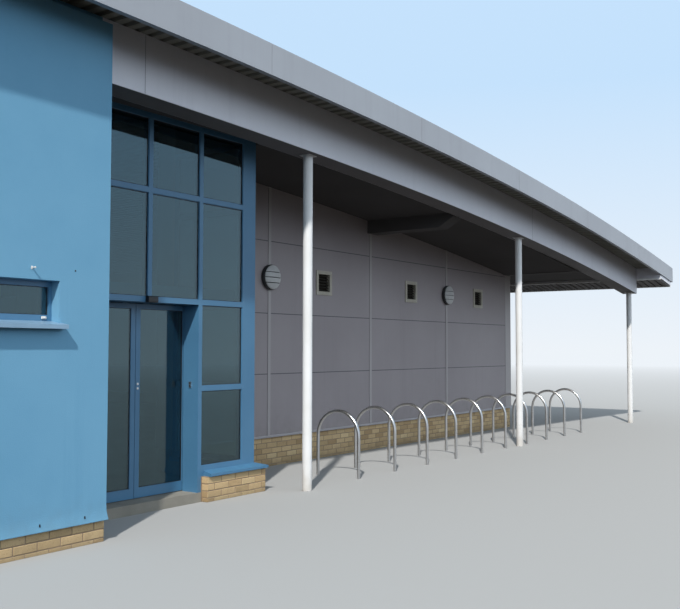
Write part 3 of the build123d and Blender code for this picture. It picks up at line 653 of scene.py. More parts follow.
def box_mesh(low, high, bevel=0.0):
    """A closed box between two corners, with its edges eased by the bevel."""
    shape = bmesh.new()
    bmesh.ops.create_cube(shape, size=1.0)
    size = Vector(high) - Vector(low)
    middle = (Vector(high) + Vector(low)) / 2
    for vert in shape.verts:
        vert.co = Vector(vert.co[i] * size[i] for i in range(3)) + middle
    if bevel:
        bmesh.ops.bevel(shape, geom=list(shape.edges), offset=bevel, segments=1, affect="EDGES")
    return as_mesh(shape)


def turned_mesh(profile, centre, axis=1, sides=24):
    """A closed round piece: pairs of radius and distance along the axis, from one end to the other."""
    first_axis, second_axis = (i for i in range(3) if i != axis)
    rings = []
    for radius, along in profile:
        ring = []
        for step in range(sides):
            turn = 2 * math.pi * step / sides
            point = Vector(centre)
            point[axis] += along
            point[first_axis] += radius * math.cos(turn)
            point[second_axis] += radius * math.sin(turn)
            ring.append(point)
        rings.append(ring)
    return lofted_mesh(rings)


def cut_mesh(mesh, *planes):
    """The closed part of a mesh behind planes, each given by a place on it and its outward direction."""
    shape = bmesh.new()
    shape.from_mesh(mesh)
    bmesh.ops.remove_doubles(shape, verts=shape.verts, dist=1e-5)
    for place, outward in planes:
        bmesh.ops.bisect_plane(
            shape, geom=shape.verts[:] + shape.edges[:] + shape.faces[:], dist=1e-6, plane_co=place,
            plane_no=outward, clear_outer=True,
        )
        bmesh.ops.holes_fill(shape, edges=[edge for edge in shape.edges if edge.is_boundary], sides=0)
    bmesh.ops.recalc_face_normals(shape, faces=shape.faces)
    return as_mesh(shape)


def ring_meshes(low, high, axis, width, depth_low, depth_high):
    """Four mitre-free bars inside the edge of a rectangle. Axis is the one across its plane."""
    along = 0 if axis == 1 else 1
    u0, u1 = low[along], high[along]
    z0, z1 = low.z, high.z

    def bar(ua, ub, za, zb):
        corners = []
        for u, z, d in ((ua, za, depth_low), (ub, zb, depth_high)):
            point = [0.0, 0.0, z]
            point[along] = u
            point[axis] = d
            corners.append(point)
        return box_mesh(*corners)

    return [
        bar(u0, u0 + width, z0, z1), bar(u1 - width, u1, z0, z1),
        bar(u0 + width, u1 - width, z0, z0 + width), bar(u0 + width, u1 - width, z1 - width, z1),
    ]


def grown(tree, sizes):
    """Runs a geometry tree with its named inputs and returns the result as a plain mesh."""
    carrier = bpy.data.objects.new("carrier", bpy.data.meshes.new("carrier"))
    bpy.context.scene.collection.objects.link(carrier)
    modifier = carrier.modifiers.new("tree", "NODES")
    modifier.node_group = tree
    for item in tree.interface.items_tree:
        if item.item_type == "SOCKET" and item.in_out == "INPUT" and item.name in sizes:
            modifier[item.identifier] = sizes[item.name]
    bpy.context.view_layer.update()
    evaluated = carrier.evaluated_get(bpy.context.evaluated_depsgraph_get())
    mesh = bpy.data.meshes.new_from_object(evaluated)
    bpy.data.objects.remove(carrier)
    return mesh


def finish_tree(tree, put, geometry, material_input):
    realised = node(tree, "GeometryNodeRealizeInstances", {0: geometry}).outputs[0]
    done = node(tree, "GeometryNodeSetMaterial", {"Geometry": realised, "Material": material_input})
    put("Geometry", done.outputs[0])


def offset_vector(tree, x=0.0, y=0.0, z=0.0):
    return node(tree, "ShaderNodeCombineXYZ", {0: x, 1: y, 2: z}).outputs[0]


def moved_to(tree, geometry, place):
    values = {"Geometry": geometry, "Position": place}
    return node(tree, "GeometryNodeSetPosition", values).outputs[0]


def unit_block(tree, vertices_along_x):
    """A cube of 1 m cut into steps along X, with the X, Y and Z of its places."""
    block = node(tree, "GeometryNodeMeshCube", {
        "Size": (1.0, 1.0, 1.0), "Vertices X": vertices_along_x, "Vertices Y": 2, "Vertices Z": 2,
    }).outputs[0]
    return block, *parts(tree, node(tree, "GeometryNodeInputPosition").outputs[0])


def arc_fall(tree, radius, x):
    """How far an arc of the radius lies under its crown at x."""
    squares = maths(tree, "SUBTRACT", maths(tree, "MULTIPLY", radius, radius), maths(tree, "MULTIPLY", x, x))
    return maths(tree, "SUBTRACT", radius, maths(tree, "SQRT", squares))


def lay_row(tree, put, shape, count, start, step, material_input):
    """Repeats a shape in a straight row and ends the tree."""
    row = node(tree, "GeometryNodeMeshLine", {
        "Count": count, "Start Location": start, "Offset": step,
    }, mode="OFFSET").outputs[0]
    laid = node(tree, "GeometryNodeInstanceOnPoints", {"Points": row, "Instance": shape}).outputs[0]
    finish_tree(tree, put, laid, material_input)


def make_brickwork_tree():
    """Half-bond brickwork on a plane along X, from the top course down, cut at both ends and at the foot."""
    tree, given, put = new_group(
        "brickwork", "GeometryNodeTree",
        {"Length": ("Float", 1.0), "Height": ("Float", 0.2), "Brick": ("Object", None),
         "Brick Length": ("Float", 0.215), "Brick Height": ("Float", 0.065), "Joint": ("Float", 0.01),
         "Seed": ("Int", 1), "Material": ("Material", None)},
        {"Geometry": "Geometry"},
    )
    pitch = maths(tree, "ADD", given["Brick Length"], given["Joint"])
    course = maths(tree, "ADD", given["Brick Height"], given["Joint"])
    columns = maths(tree, "ADD", maths(tree, "CEIL", maths(tree, "DIVIDE", given["Length"], pitch)), 1.0)
    rows = maths(tree, "CEIL", maths(tree, "DIVIDE", given["Height"], course))
    points = node(tree, "GeometryNodePoints", {"Count": maths(tree, "MULTIPLY", columns, rows)}).outputs[0]
    index = node(tree, "GeometryNodeInputIndex").outputs[0]
    row = maths(tree, "FLOOR", maths(tree, "DIVIDE", index, columns))
    column = maths(tree, "SUBTRACT", index, maths(tree, "MULTIPLY", row, columns))
    shift = maths(tree, "MULTIPLY", maths(tree, "MODULO", row, 2.0), maths(tree, "DIVIDE", pitch, 2.0))
    start = maths(tree, "SUBTRACT", maths(tree, "MULTIPLY", column, pitch), shift)
    left = maths(tree, "MAXIMUM", start, 0.0)
    right = maths(tree, "MINIMUM", maths(tree, "ADD", start, given["Brick Length"]), given["Length"])
    drop = maths(tree, "ADD", maths(tree, "MULTIPLY", row, course), given["Joint"])
    top = maths(tree, "SUBTRACT", given["Height"], drop)
    foot = maths(tree, "MAXIMUM", maths(tree, "SUBTRACT", top, given["Brick Height"]), 0.0)
    wide = maths(tree, "SUBTRACT", right, left)
    high = maths(tree, "SUBTRACT", top, foot)
    middle = offset_vector(
        tree, maths(tree, "MULTIPLY", maths(tree, "ADD", left, right), 0.5), 0.0,
        maths(tree, "MULTIPLY", maths(tree, "ADD", top, foot), 0.5),
    )
    placed = moved_to(tree, points, middle)
    sliver = maths(
        tree, "MAXIMUM", maths(tree, "LESS_THAN", wide, SLIVER_LENGTH),
        maths(tree, "LESS_THAN", high, SLIVER_HEIGHT),
    )
    size = offset_vector(
        tree, maths(tree, "DIVIDE", wide, given["Brick Length"]), 1.0,
        maths(tree, "DIVIDE", high, given["Brick Height"]),
    )
    sized = node(tree, "GeometryNodeStoreNamedAttribute", {
        "Geometry": placed, "Name": "brick_size", "Value": size,
    }, data_type="FLOAT_VECTOR", domain="POINT").outputs[0]
    kept = node(tree, "GeometryNodeDeleteGeometry", {"Geometry": sized, "Selection": sliver}).outputs[0]
    block = node(tree, "GeometryNodeObjectInfo", {"Object": given["Brick"]}).outputs["Geometry"]
    stored = node(tree, "GeometryNodeInputNamedAttribute", {"Name": "brick_size"}, data_type="FLOAT_VECTOR")
    laid = node(tree, "GeometryNodeInstanceOnPoints", {
        "Points": kept, "Instance": block, "Scale": stored.outputs[0],
    }).outputs[0]
    nudge = node(tree, "FunctionNodeRandomValue", {
        "Min": -BRICK_NUDGE, "Max": BRICK_NUDGE, "Seed": given["Seed"],
    }, data_type="FLOAT_VECTOR").outputs[0]
    moved = node(tree, "GeometryNodeTranslateInstances", {"Instances": laid, "Translation": nudge}).outputs[0]
    tone = node(tree, "FunctionNodeRandomValue", {"Seed": given["Seed"]}, data_type="FLOAT").outputs[1]
    toned = node(tree, "GeometryNodeStoreNamedAttribute", {
        "Geometry": moved, "Name": "brick_tone", "Value": tone,
    }, data_type="FLOAT", domain="INSTANCE").outputs[0]
    finish_tree(tree, put, toned, given["Material"])
    return tree


def make_deck_tree():
    """A slab whose top follows the roof arc and whose underside is folded into trapezoidal ribs along Y."""
    tree, given, put = new_group(
        "ribbed_deck", "GeometryNodeTree",
        {"Width": ("Float", 36.0), "Front": ("Float", -9.0), "Back": ("Float", 9.0),
         "Pitch": ("Float", 0.15), "Rib Depth": ("Float", 0.05), "Rib Slope": ("Float", 0.1),
         "Rib Crest": ("Float", 0.3), "Top Crown": ("Float", 4.7), "Soffit Crown": ("Float", 4.6),
         "Radius": ("Float", 134.0), "Material": ("Material", None)},
        {"Geometry": "Geometry"},
    )
    ribs = maths(tree, "CEIL", maths(tree, "DIVIDE", given["Width"], given["Pitch"]))
    steps = maths(tree, "MULTIPLY", ribs, 4.0)
    slab, across, inward, up = unit_block(tree, maths(tree, "ADD", steps, 1.0))
    step = maths(tree, "ROUND", maths(tree, "MULTIPLY", maths(tree, "ADD", across, 0.5), steps))
    rib = maths(tree, "FLOOR", maths(tree, "DIVIDE", maths(tree, "ADD", step, 0.25), 4.0))
    phase = maths(tree, "SUBTRACT", step, maths(tree, "MULTIPLY", rib, 4.0))
    high = maths(
        tree, "MULTIPLY", maths(tree, "GREATER_THAN", phase, 0.5), maths(tree, "LESS_THAN", phase, 2.5)
    )
    rising = maths(tree, "MINIMUM", phase, 1.0)
    level = maths(tree, "SUBTRACT", phase, 1.0, clamp=True)
    falling = maths(tree, "SUBTRACT", phase, 2.0, clamp=True)
    share = maths(
        tree, "ADD", maths(tree, "MULTIPLY", maths(tree, "ADD", rising, falling), given["Rib Slope"]),
        maths(tree, "MULTIPLY", level, given["Rib Crest"]),
    )
    along = maths(tree, "MULTIPLY", maths(tree, "ADD", rib, share), given["Pitch"])
    x = maths(tree, "SUBTRACT", along, maths(tree, "DIVIDE", given["Width"], 2.0))
    x = maths(tree, "MINIMUM", x, maths(tree, "DIVIDE", given["Width"], 2.0))
    fall = arc_fall(tree, given["Radius"], x)
    low_z = maths(tree, "ADD", given["Soffit Crown"], maths(tree, "MULTIPLY", high, given["Rib Depth"]))
    is_top = maths(tree, "GREATER_THAN", up, 0.0)
    is_back = maths(tree, "GREATER_THAN", inward, 0.0)
    z = mix_value(tree, is_top, low_z, given["Top Crown"])
    y = mix_value(tree, is_back, given["Front"], given["Back"])
    place = offset_vector(tree, x, y, maths(tree, "SUBTRACT", z, fall))
    finish_tree(tree, put, moved_to(tree, slab, place), given["Material"])
    return tree


def make_seam_tree():
    """Raised seams along the roof arc, repeated from front to back."""
    tree, given, put = new_group(
        "roof_seams", "GeometryNodeTree",
        {"Width": ("Float", 36.0), "Front": ("Float", -9.0), "Pitch": ("Float", 0.5), "Count": ("Int", 10),
         "Seam Width": ("Float", 0.04), "Low Crown": ("Float", 4.76), "High Crown": ("Float", 4.79),
         "Radius": ("Float", 134.0), "Material": ("Material", None)},
        {"Geometry": "Geometry"},
    )
    bar, across, inward, up = unit_block(tree, SEAM_STEPS + 1)
    x = maths(tree, "MULTIPLY", across, given["Width"])
    fall = arc_fall(tree, given["Radius"], x)
    is_top = maths(tree, "GREATER_THAN", up, 0.0)
    z = mix_value(tree, is_top, given["Low Crown"], given["High Crown"])
    taper = mix_value(tree, is_top, 1.0, 0.6)
    y = maths(tree, "MULTIPLY", maths(tree, "MULTIPLY", inward, given["Seam Width"]), taper)
    place = offset_vector(tree, x, y, maths(tree, "SUBTRACT", z, fall))
    lay_row(
        tree, put, moved_to(tree, bar, place), given["Count"], offset_vector(tree, y=given["Front"]),
        offset_vector(tree, y=given["Pitch"]), given["Material"],
    )
    return tree


def make_row_tree():
    """A shape repeated in a straight row."""
    tree, given, put = new_group(
        "straight_row", "GeometryNodeTree",
        {"Shape": ("Object", None), "Count": ("Int", 10), "Start": ("Vector", (0.0, 0.0, 0.0)),
         "Step": ("Vector", (1.0, 0.0, 0.0)), "Material": ("Material", None)},
        {"Geometry": "Geometry"},
    )
    shape = node(tree, "GeometryNodeObjectInfo", {"Object": given["Shape"]}).outputs["Geometry"]
    lay_row(tree, put, shape, given["Count"], given["Start"], given["Step"], given["Material"])
    return tree


def make_hoop_tree():
    """Bent tubes with two straight legs, in a row along X."""
    tree, given, put = new_group(
        "cycle_hoops", "GeometryNodeTree",
        {"Width": ("Float", 0.6), "Height": ("Float", 0.8), "Tube": ("Float", 0.048),
         "Steps": ("Int", 40), "Count": ("Int", 10), "Start": ("Vector", (0.0, 0.0, 0.0)),
         "Pitch": ("Float", 0.9), "Material": ("Material", None)},
        {"Geometry": "Geometry"},
    )
    radius = maths(tree, "MULTIPLY", given["Width"], 0.5)
    leg = maths(tree, "SUBTRACT", given["Height"], radius)
    bend = maths(tree, "MULTIPLY", radius, math.pi)
    total = maths(tree, "ADD", maths(tree, "MULTIPLY", leg, 2.0), bend)
    line = node(tree, "GeometryNodeMeshLine", {"Count": given["Steps"]}).outputs[0]
    index = node(tree, "GeometryNodeInputIndex").outputs[0]
    last = maths(tree, "SUBTRACT", given["Steps"], 1.0)
    run = maths(tree, "MULTIPLY", maths(tree, "DIVIDE", index, last), total)
    into = maths(tree, "SUBTRACT", run, leg)
    turn = maths(tree, "DIVIDE", into, radius)
    turn = maths(tree, "MINIMUM", maths(tree, "MAXIMUM", turn, 0.0), math.pi)
    before = maths(tree, "MAXIMUM", maths(tree, "SUBTRACT", leg, run), 0.0)
    after = maths(tree, "MAXIMUM", maths(tree, "SUBTRACT", into, bend), 0.0)
    y = maths(tree, "MULTIPLY", maths(tree, "COSINE", turn), maths(tree, "MULTIPLY", radius, -1.0))
    rise = maths(tree, "ADD", leg, maths(tree, "MULTIPLY", maths(tree, "SINE", turn), radius))
    z = maths(tree, "SUBTRACT", maths(tree, "SUBTRACT", rise, before), after)
    bent = moved_to(tree, line, offset_vector(tree, 0.0, y, z))
    path = node(tree, "GeometryNodeMeshToCurve", {0: bent}).outputs[0]
    round_section = node(tree, "GeometryNodeCurvePrimitiveCircle", {
        "Resolution": 20, "Radius": maths(tree, "MULTIPLY", given["Tube"], 0.5),
    }).outputs[0]
    tube = node(tree, "GeometryNodeCurveToMesh", {
        "Curve": path, "Profile Curve": round_section, "Fill Caps": True,
    }).outputs[0]
    step = offset_vector(tree, given["Pitch"])
    lay_row(tree, put, tube, given["Count"], given["Start"], step, given["Material"])
    return tree


brickwork_tree = make_brickwork_tree()
deck_tree = make_deck_tree()
seam_tree = make_seam_tree()
row_tree = make_row_tree()
hoop_tree = make_hoop_tree()


def pattern(mesh):
    """An unshown object that a tree can repeat."""
    return bpy.data.objects.new("pattern", mesh)


# Brickwork
def lay_bricks():
    depth = BRICK_PROUD + BRICK_INTO_WALL
    middle = (BRICK_INTO_WALL - BRICK_PROUD) / 2
    half = Vector((BRICK_LENGTH / 2, depth / 2, BRICK_HEIGHT / 2))
    centre = Vector((0.0, middle, 0.0))
    brick = pattern(box_mesh(centre - half, centre + half, bevel=BRICK_BEVEL))
    blue_plinth_low, blue_plinth_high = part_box("blue_wall_plinth")
    grey_plinth_low, grey_plinth_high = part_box("grey_front_plinth")
    side_low, side_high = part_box("side_plinths")
    back_plinth_low, back_plinth_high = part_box("back_plinth")
    lobby_low, lobby_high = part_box("entrance_plinth")
    lobby_front_x = lobby_low.x + LOBBY_PLINTH_START
    quarter = math.pi / 2
    runs = [
        ((blue_plinth_low.x, blue_plinth_low.y), 0.0, blue_plinth_high.x - blue_plinth_low.x,
         blue_plinth_high.z),
        ((blue_plinth_high.x, blue_plinth_low.y), quarter, blue_plinth_high.y - blue_plinth_low.y,
         blue_plinth_high.z),
        ((lobby_high.x, grey_plinth_low.y), 0.0, grey_plinth_high.x - lobby_high.x, grey_plinth_high.z),
        ((lobby_front_x, lobby_low.y), 0.0, lobby_high.x - lobby_front_x, lobby_high.z),
        ((lobby_front_x, GLAZING_Y), -quarter, GLAZING_Y - lobby_low.y, lobby_high.z),
        ((lobby_high.x, lobby_low.y), quarter, lobby_high.y - lobby_low.y, lobby_high.z),
        ((side_high.x, grey_plinth_low.y), quarter, back_plinth_high.y - grey_plinth_low.y, side_high.z),
        ((side_low.x, back_plinth_high.y), -quarter, back_plinth_high.y - side_low.y, side_high.z),
        ((back_plinth_high.x, back_plinth_high.y), math.pi, back_plinth_high.x - back_plinth_low.x,
         back_plinth_high.z),
    ]
    meshes = []
    for number, ((x, y), turn, length, height) in enumerate(runs):
        mesh = grown(brickwork_tree, {
            "Length": length, "Height": height, "Brick": brick, "Brick Length": BRICK_LENGTH,
            "Brick Height": BRICK_HEIGHT, "Joint": BRICK_JOINT, "Seed": FIRST_SEED + number,
            "Material": buff_brick,
        })
        mesh.transform(Matrix.Translation((x, y, 0.0)) @ Matrix.Rotation(turn, 4, "Z"))
        meshes.append(mesh)
    add_piece("plinth_bricks", meshes, buff_brick)


# Roof
def fit_roof():
    deck_width = deck_high.x - deck_low.x
    deck = grown(deck_tree, {
        "Width": deck_width, "Front": deck_low.y, "Back": deck_high.y, "Pitch": DECK_PITCH,
        "Rib Depth": DECK_RIB, "Rib Slope": DECK_RIB_SLOPE, "Rib Crest": DECK_RIB_CREST,
        "Top Crown": DECK_TOP, "Soffit Crown": DECK_SOFFIT, "Radius": ROOF_RADIUS,
        "Material": materials["deck_metal"],
    })
    add_piece("ribbed_deck", [deck], materials["deck_metal"], replaces=("roof_deck",))
    cover_low, cover_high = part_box("roof_covering")
    seams = int((cover_high.y - cover_low.y - 2 * SEAM_END_GAP) / SEAM_PITCH)
    first = -seams * SEAM_PITCH / 2
    mesh = grown(seam_tree, {
        "Width": cover_high.x - cover_low.x, "Front": first, "Pitch": SEAM_PITCH, "Count": seams + 1,
        "Seam Width": SEAM_WIDTH, "Low Crown": cover_high.z - SEAM_INTO_ROOF, "High Crown": VERGE_TOP,
        "Radius": ROOF_RADIUS, "Material": materials["roof_metal"],
    })
    add_piece("roof_seams", [mesh], materials["roof_metal"])


def fit_roof_joints():
    """Butt joints of the verge sheets and of the boxed beam."""
    meshes = []

    def joint(x, foot_crown, head_crown, near, far):
        half = SHEET_JOINT_WIDTH / 2
        low = roof_z(foot_crown, x) + SHEET_JOINT_END_GAP
        high = roof_z(head_crown, x) - SHEET_JOINT_END_GAP
        meshes.append(box_mesh((x - half, near, low), (x + half, far, high)))

    count = int((verge_high.x - VERGE_JOINT_FIRST) / VERGE_JOINT_PITCH)
    first = -int((verge_high.x + VERGE_JOINT_FIRST) / VERGE_JOINT_PITCH)
    for k in range(first, count + 1):
        x = VERGE_JOINT_FIRST + VERGE_JOINT_PITCH * k
        for near, far in (
            (verge_low.y - SHEET_JOINT_PROUD, verge_low.y), (verge_high.y, verge_high.y + SHEET_JOINT_PROUD),
        ):
            joint(x, VERGE_TOP - VERGE_DEPTH, VERGE_TOP, near, far)
    beam_low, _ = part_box("fascia_beams")
    for place in BEAM_JOINT_PLACES:
        joint(beam_low.x + place, BEAM_FOOT, DECK_SOFFIT, beam_low.y - SHEET_JOINT_PROUD, beam_low.y)
    add_piece("sheet_joints", meshes, sheet_edge)


def sloped_bar(side, inner, outer, half_width, foot_half_width, drop):
    """A bar under the sloping eaves soffit, centred on y 0. Inner and outer are its ends as x and z."""
    section = (
        (-half_width, INTO_WALL), (-foot_half_width, -drop), (foot_half_width, -drop),
        (half_width, INTO_WALL),
    )
    return lofted_mesh([[(side * x, y, z + up) for y, up in section] for x, z in (inner, outer)])


def fit_eaves_soffits():
    """Ribbed sheets under both sloping eaves, darker than the eaves boxes as painted shade, between straight
    edge trims that are pale as a painted highlight.
    """
    ribs = []
    trims = []
    low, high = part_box("eaves_boxes")
    inner_x = right_high.x + SIDE_WALK_WIDTH
    outer_x = high.x
    inner_z = roof_z(DECK_SOFFIT, inner_x) - EAVES_INNER_DEPTH
    outer_z = roof_z(DECK_SOFFIT, outer_x) - EAVES_OUTER_DEPTH
    fall = (outer_z - inner_z) / (outer_x - inner_x)

    def point(x):
        return x, inner_z + fall * (x - inner_x)

    half_run = (high.y - low.y) / 2
    count = int(half_run * 2 / DECK_PITCH) - 1
    for side in (-1, 1):
        ends = point(inner_x + SOFFIT_TRIM), point(outer_x - SOFFIT_TRIM)
        skin_half = half_run - SOFFIT_SKIN_GAP
        ribs.append(sloped_bar(side, *ends, skin_half, skin_half, SOFFIT_SKIN))
        rib = sloped_bar(side, *ends, SOFFIT_RIB_ROOT / 2, SOFFIT_RIB_FOOT / 2, SOFFIT_RIB)
        ribs.append(grown(row_tree, {
            "Shape": pattern(rib), "Count": count + 1, "Start": (0.0, -count * DECK_PITCH / 2, 0.0),
            "Step": (0.0, DECK_PITCH, 0.0), "Material": materials["deck_metal"],
        }))
        for near, far in (
            (inner_x - SOFFIT_TRIM_LAP, inner_x + SOFFIT_TRIM),
            (outer_x - SOFFIT_TRIM, outer_x + SOFFIT_TRIM_LAP),
        ):
            drop = SOFFIT_RIB + SOFFIT_SKIN
            trims.append(sloped_bar(side, point(near), point(far), half_run, half_run, drop))
    # The skin and ribs are darker than the eaves box above them: painted shade
    add_piece("eaves_soffit_ribs", ribs, underside_shade_metal)
    # The trims take the pale column paint as a painted highlight for the sun they catch
    add_piece("eaves_soffit_trims", trims, materials["column_paint"])


def fit_beam_shade_sheets():
    """Sheets darker than the beam that close the boxed beams from below, bent along the arc: their grey is
    painted shade.
    """
    sheets = []
    for low, high in islands("fascia_beams"):
        start = low.x + SOFFIT_END_GAP
        step = (high.x - SOFFIT_END_GAP - start) / SOFFIT_STEPS
        front = low.y + SOFFIT_EDGE_GAP
        back = high.y - SOFFIT_EDGE_GAP
        rings = []
        for k in range(SOFFIT_STEPS + 1):
            x = start + step * k
            top = roof_z(BEAM_FOOT, x) + SOFFIT_INTO_BEAM
            foot = top - SOFFIT_SHEET
            rings.append([(x, front, top), (x, back, top), (x, back, foot), (x, front, foot)])
        sheets.append(lofted_mesh(rings))
    add_piece("beam_soffit_sheets", sheets, underside_shade_metal)


def fit_cross_beams():
    """The cross beams of the canopy, with their front ends splayed up to the underside of the boxed beam."""
    beams = []
    whole = frame["nodes"]["canopy_cross_beams"].data
    boxes = sorted(islands("canopy_cross_beams"), key=lambda pair: pair[0].x)
    between = (boxes[0][1].x + boxes[1][0].x) / 2
    for (low, high), side in zip(boxes, (1.0, -1.0)):
        rise = roof_z(BEAM_FOOT, high.x) - low.z
        splay = Vector((0.0, -rise, -SPLAY_RUN)).normalized()
        beams.append(cut_mesh(
            whole, ((between, 0.0, 0.0), (side, 0.0, 0.0)), ((0.0, low.y + SPLAY_RUN, low.z), splay)
        ))
    add_piece(
        "splayed_cross_beams", beams, cross_beam_metal, replaces=("canopy_cross_beams",)
    )


# Wall joints and trims
def skirt_mesh(section, corners):
    """A strip round outer corners. The section is pairs of distance out from the wall and height."""
    return lofted_mesh([
        [(x + out * out_x, y + out * out_y, z) for out, z in section] for (x, y), (out_x, out_y) in corners
    ])


def fit_drip_flashing():
    """A sloping metal drip at the foot of the grey walls, over their plinths."""
    drip = skirt_mesh([(out, grey_low.z + rise) for out, rise in DRIP_SECTION], (
        ((grey_low.x, GREY_Y), (0, -1)), ((right_high.x, GREY_Y), (1, -1)),
        ((right_high.x, back_high.y), (1, 1)), ((left_low.x, back_high.y), (-1, 1)),
        ((left_low.x, left_low.y), (-1, 0)),
    ))
    add_piece("drip_flashing", [drip], materials["strip_metal"])


def fit_panel_joints():
    """Level joints between the panels of the grey walls, stopped at the back windows."""
    half = JOINT_WIDTH / 2
    out = JOINT_PROUD
    meshes = []
    front_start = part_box("grey_front_plinth")[0].x
    window_low, window_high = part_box("window_frames")
    window_spans = sorted((a.x, b.x) for a, b in islands("window_sills") if a.y > 0)
    for z in JOINT_HEIGHTS:
        low, high = z - half, z + half
        meshes.append(box_mesh((front_start, GREY_Y - out, low), (grey_high.x, GREY_Y, high)))
        meshes.append(box_mesh((right_high.x, GREY_Y - out, low), (right_high.x + out, back_high.y, high)))
        meshes.append(box_mesh((left_low.x - out, left_low.y, low), (left_low.x, back_high.y, high)))
        crosses_windows = window_low.z < z < window_high.z
        edges = [back_low.x]
        for start, end in window_spans if crosses_windows else []:
            edges += [start, end]
        edges.append(back_high.x)
        for start, end in zip(edges[0::2], edges[1::2]):
            meshes.append(box_mesh((start, back_high.y, low), (end, back_high.y + out, high)))
    add_piece("panel_joints", meshes, joint_sealant)


def fit_corner_flashings():
    """Plain folded sheets over the corners of the grey walls, from the plinth up to the deck or the eaves."""
    sheets = []
    foot = grey_low.z
    eaves_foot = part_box("canopy_cross_beams")[0].z
    for x, y, head in (
        (right_high.x, grey_low.y, eaves_foot),
        (right_high.x, back_high.y, roof_z(DECK_SOFFIT, right_high.x)),
        (left_low.x, back_high.y, roof_z(DECK_SOFFIT, left_low.x)),
    ):
        face_x = x + math.copysign(FLASHING_PROUD, x)
        face_y = y + math.copysign(FLASHING_PROUD, y)
        inner_x = x - math.copysign(FLASHING_WIDTH, x)
        inner_y = y - math.copysign(FLASHING_WIDTH, y)
        for (x0, x1), (y0, y1), top in (
            (sorted((inner_x, face_x)), sorted((y, face_y)), head),
            (sorted((x, face_x)), sorted((inner_y, y)), eaves_foot),
        ):
            sheets.append(box_mesh((x0, y0, foot), (x1, y1, top - FLASHING_END_GAP)))
    add_piece("corner_flashings", sheets, materials["strip_metal"])


def fit_render_trims():
    """The flared foot of the render with its weep vents, a plugged hole and a wall hook."""
    foot = blue_low.z
    bend_foot = foot + FLARE_LIP
    section = [(-FLARE_INTO_WALL, foot - FLARE_DROP), (FLARE_OUT, foot - FLARE_DROP)]
    for k in range(FLARE_STEPS + 1):
        share = k / FLARE_STEPS
        section.append((FLARE_THICK + FLARE_OUT * (1.0 - share) ** 2, bend_foot + FLARE_HEIGHT * share))
    section.append((-FLARE_INTO_WALL, bend_foot + FLARE_HEIGHT))
    flare = skirt_mesh(section, (
        ((blue_low.x, FRONT_Y), (0, -1)), ((blue_high.x, FRONT_Y), (1, -1)),
        ((blue_high.x, return_high.y), (1, 0)),
    ))
    add_piece("render_flare", [flare], materials["blue_render"])
    half = WEEP_WIDTH / 2
    slot_mesh = box_mesh((-half, FRONT_Y - WEEP_PROUD, foot + WEEP_LOW), (half, FRONT_Y, foot + WEEP_HIGH))
    last = blue_high.x - WEEP_FIRST
    count = int((last - blue_low.x) / WEEP_PITCH)
    weeps = grown(row_tree, {
        "Shape": pattern(slot_mesh), "Count": count + 1, "Start": (last - count * WEEP_PITCH, 0.0, 0.0),
        "Step": (WEEP_PITCH, 0.0, 0.0), "Material": gasket_rubber,
    })
    plug = turned_mesh(PLUG_PROFILE, (PLUG_PLACE.x, FRONT_Y, PLUG_PLACE.z))
    add_piece("weep_vents_and_plug", [weeps, plug], gasket_rubber)
    on_wall = Vector((HOOK_PLACE.x, FRONT_Y, HOOK_PLACE.z))
    plate_low, plate_high = (on_wall + Vector(corner) for corner in HOOK_PLATE)
    peg_start = on_wall - Vector((0.0, HOOK_PEG_START, 0.0))
    hook = [
        box_mesh(plate_low, plate_high, HOOK_PLATE_BEVEL), turned_mesh(HOOK_PEG_PROFILE, peg_start, sides=16)
    ]
    add_piece("wall_hook", hook, white_plastic)


def fit_column_heads():
    """A plate on each post, under the beam."""
    plates = []
    for low, high in islands("columns"):
        middle = (low + high) / 2
        half = HEAD_PLATE / 2
        slope = math.atan2(middle.x, ROOF_RADIUS)
        plate = box_mesh(
            (-half, -half, -HEAD_PLATE_BELOW), (half, half, HEAD_PLATE_ABOVE), HEAD_PLATE_BEVEL
        )
        place = Matrix.Translation((middle.x, middle.y, high.z))
        plate.transform(place @ Matrix.Rotation(slope, 4, "Y"))
        plates.append(plate)
    add_piece("column_head_plates", plates, materials["column_paint"])


# Wall fittings
def fit_lights():
    """Four pale bands across the domed face of each light, with dark gaps between them."""
    bands = []
    for low, high in islands("light_bodies"):
        radius = (high.x - low.x) / 2 - LIGHT_RIM
        centre = ((low.x + high.x) / 2, low.y, (low.z + high.z) / 2)
        profile = [(radius, 0.001)]
        profile += [
            (radius * math.cos(math.radians(turn)), -LIGHT_DOME * math.sin(math.radians(turn)))
            for turn in range(10, 90, 10)
        ]
        profile.append((LIGHT_TIP, -LIGHT_DOME))
        dome = turned_mesh(profile, centre, sides=48)
        foot = centre[2] - radius
        levels = [foot - LIGHT_MARGIN]
        for share in LIGHT_GAPS:
            middle = foot + 2 * radius * share
            levels += [middle - LIGHT_GAP / 2, middle + LIGHT_GAP / 2]
        levels.append(foot + 2 * radius + LIGHT_MARGIN)
        for start, end in zip(levels[0::2], levels[1::2]):
            below = ((0.0, 0.0, start), (0.0, 0.0, -1.0))
            above = ((0.0, 0.0, end), (0.0, 0.0, 1.0))
            bands.append(cut_mesh(dome, below, above))
        bpy.data.meshes.remove(dome)
    add_piece("light_bands", bands, materials["light_lens"], replaces=("light_lenses",))


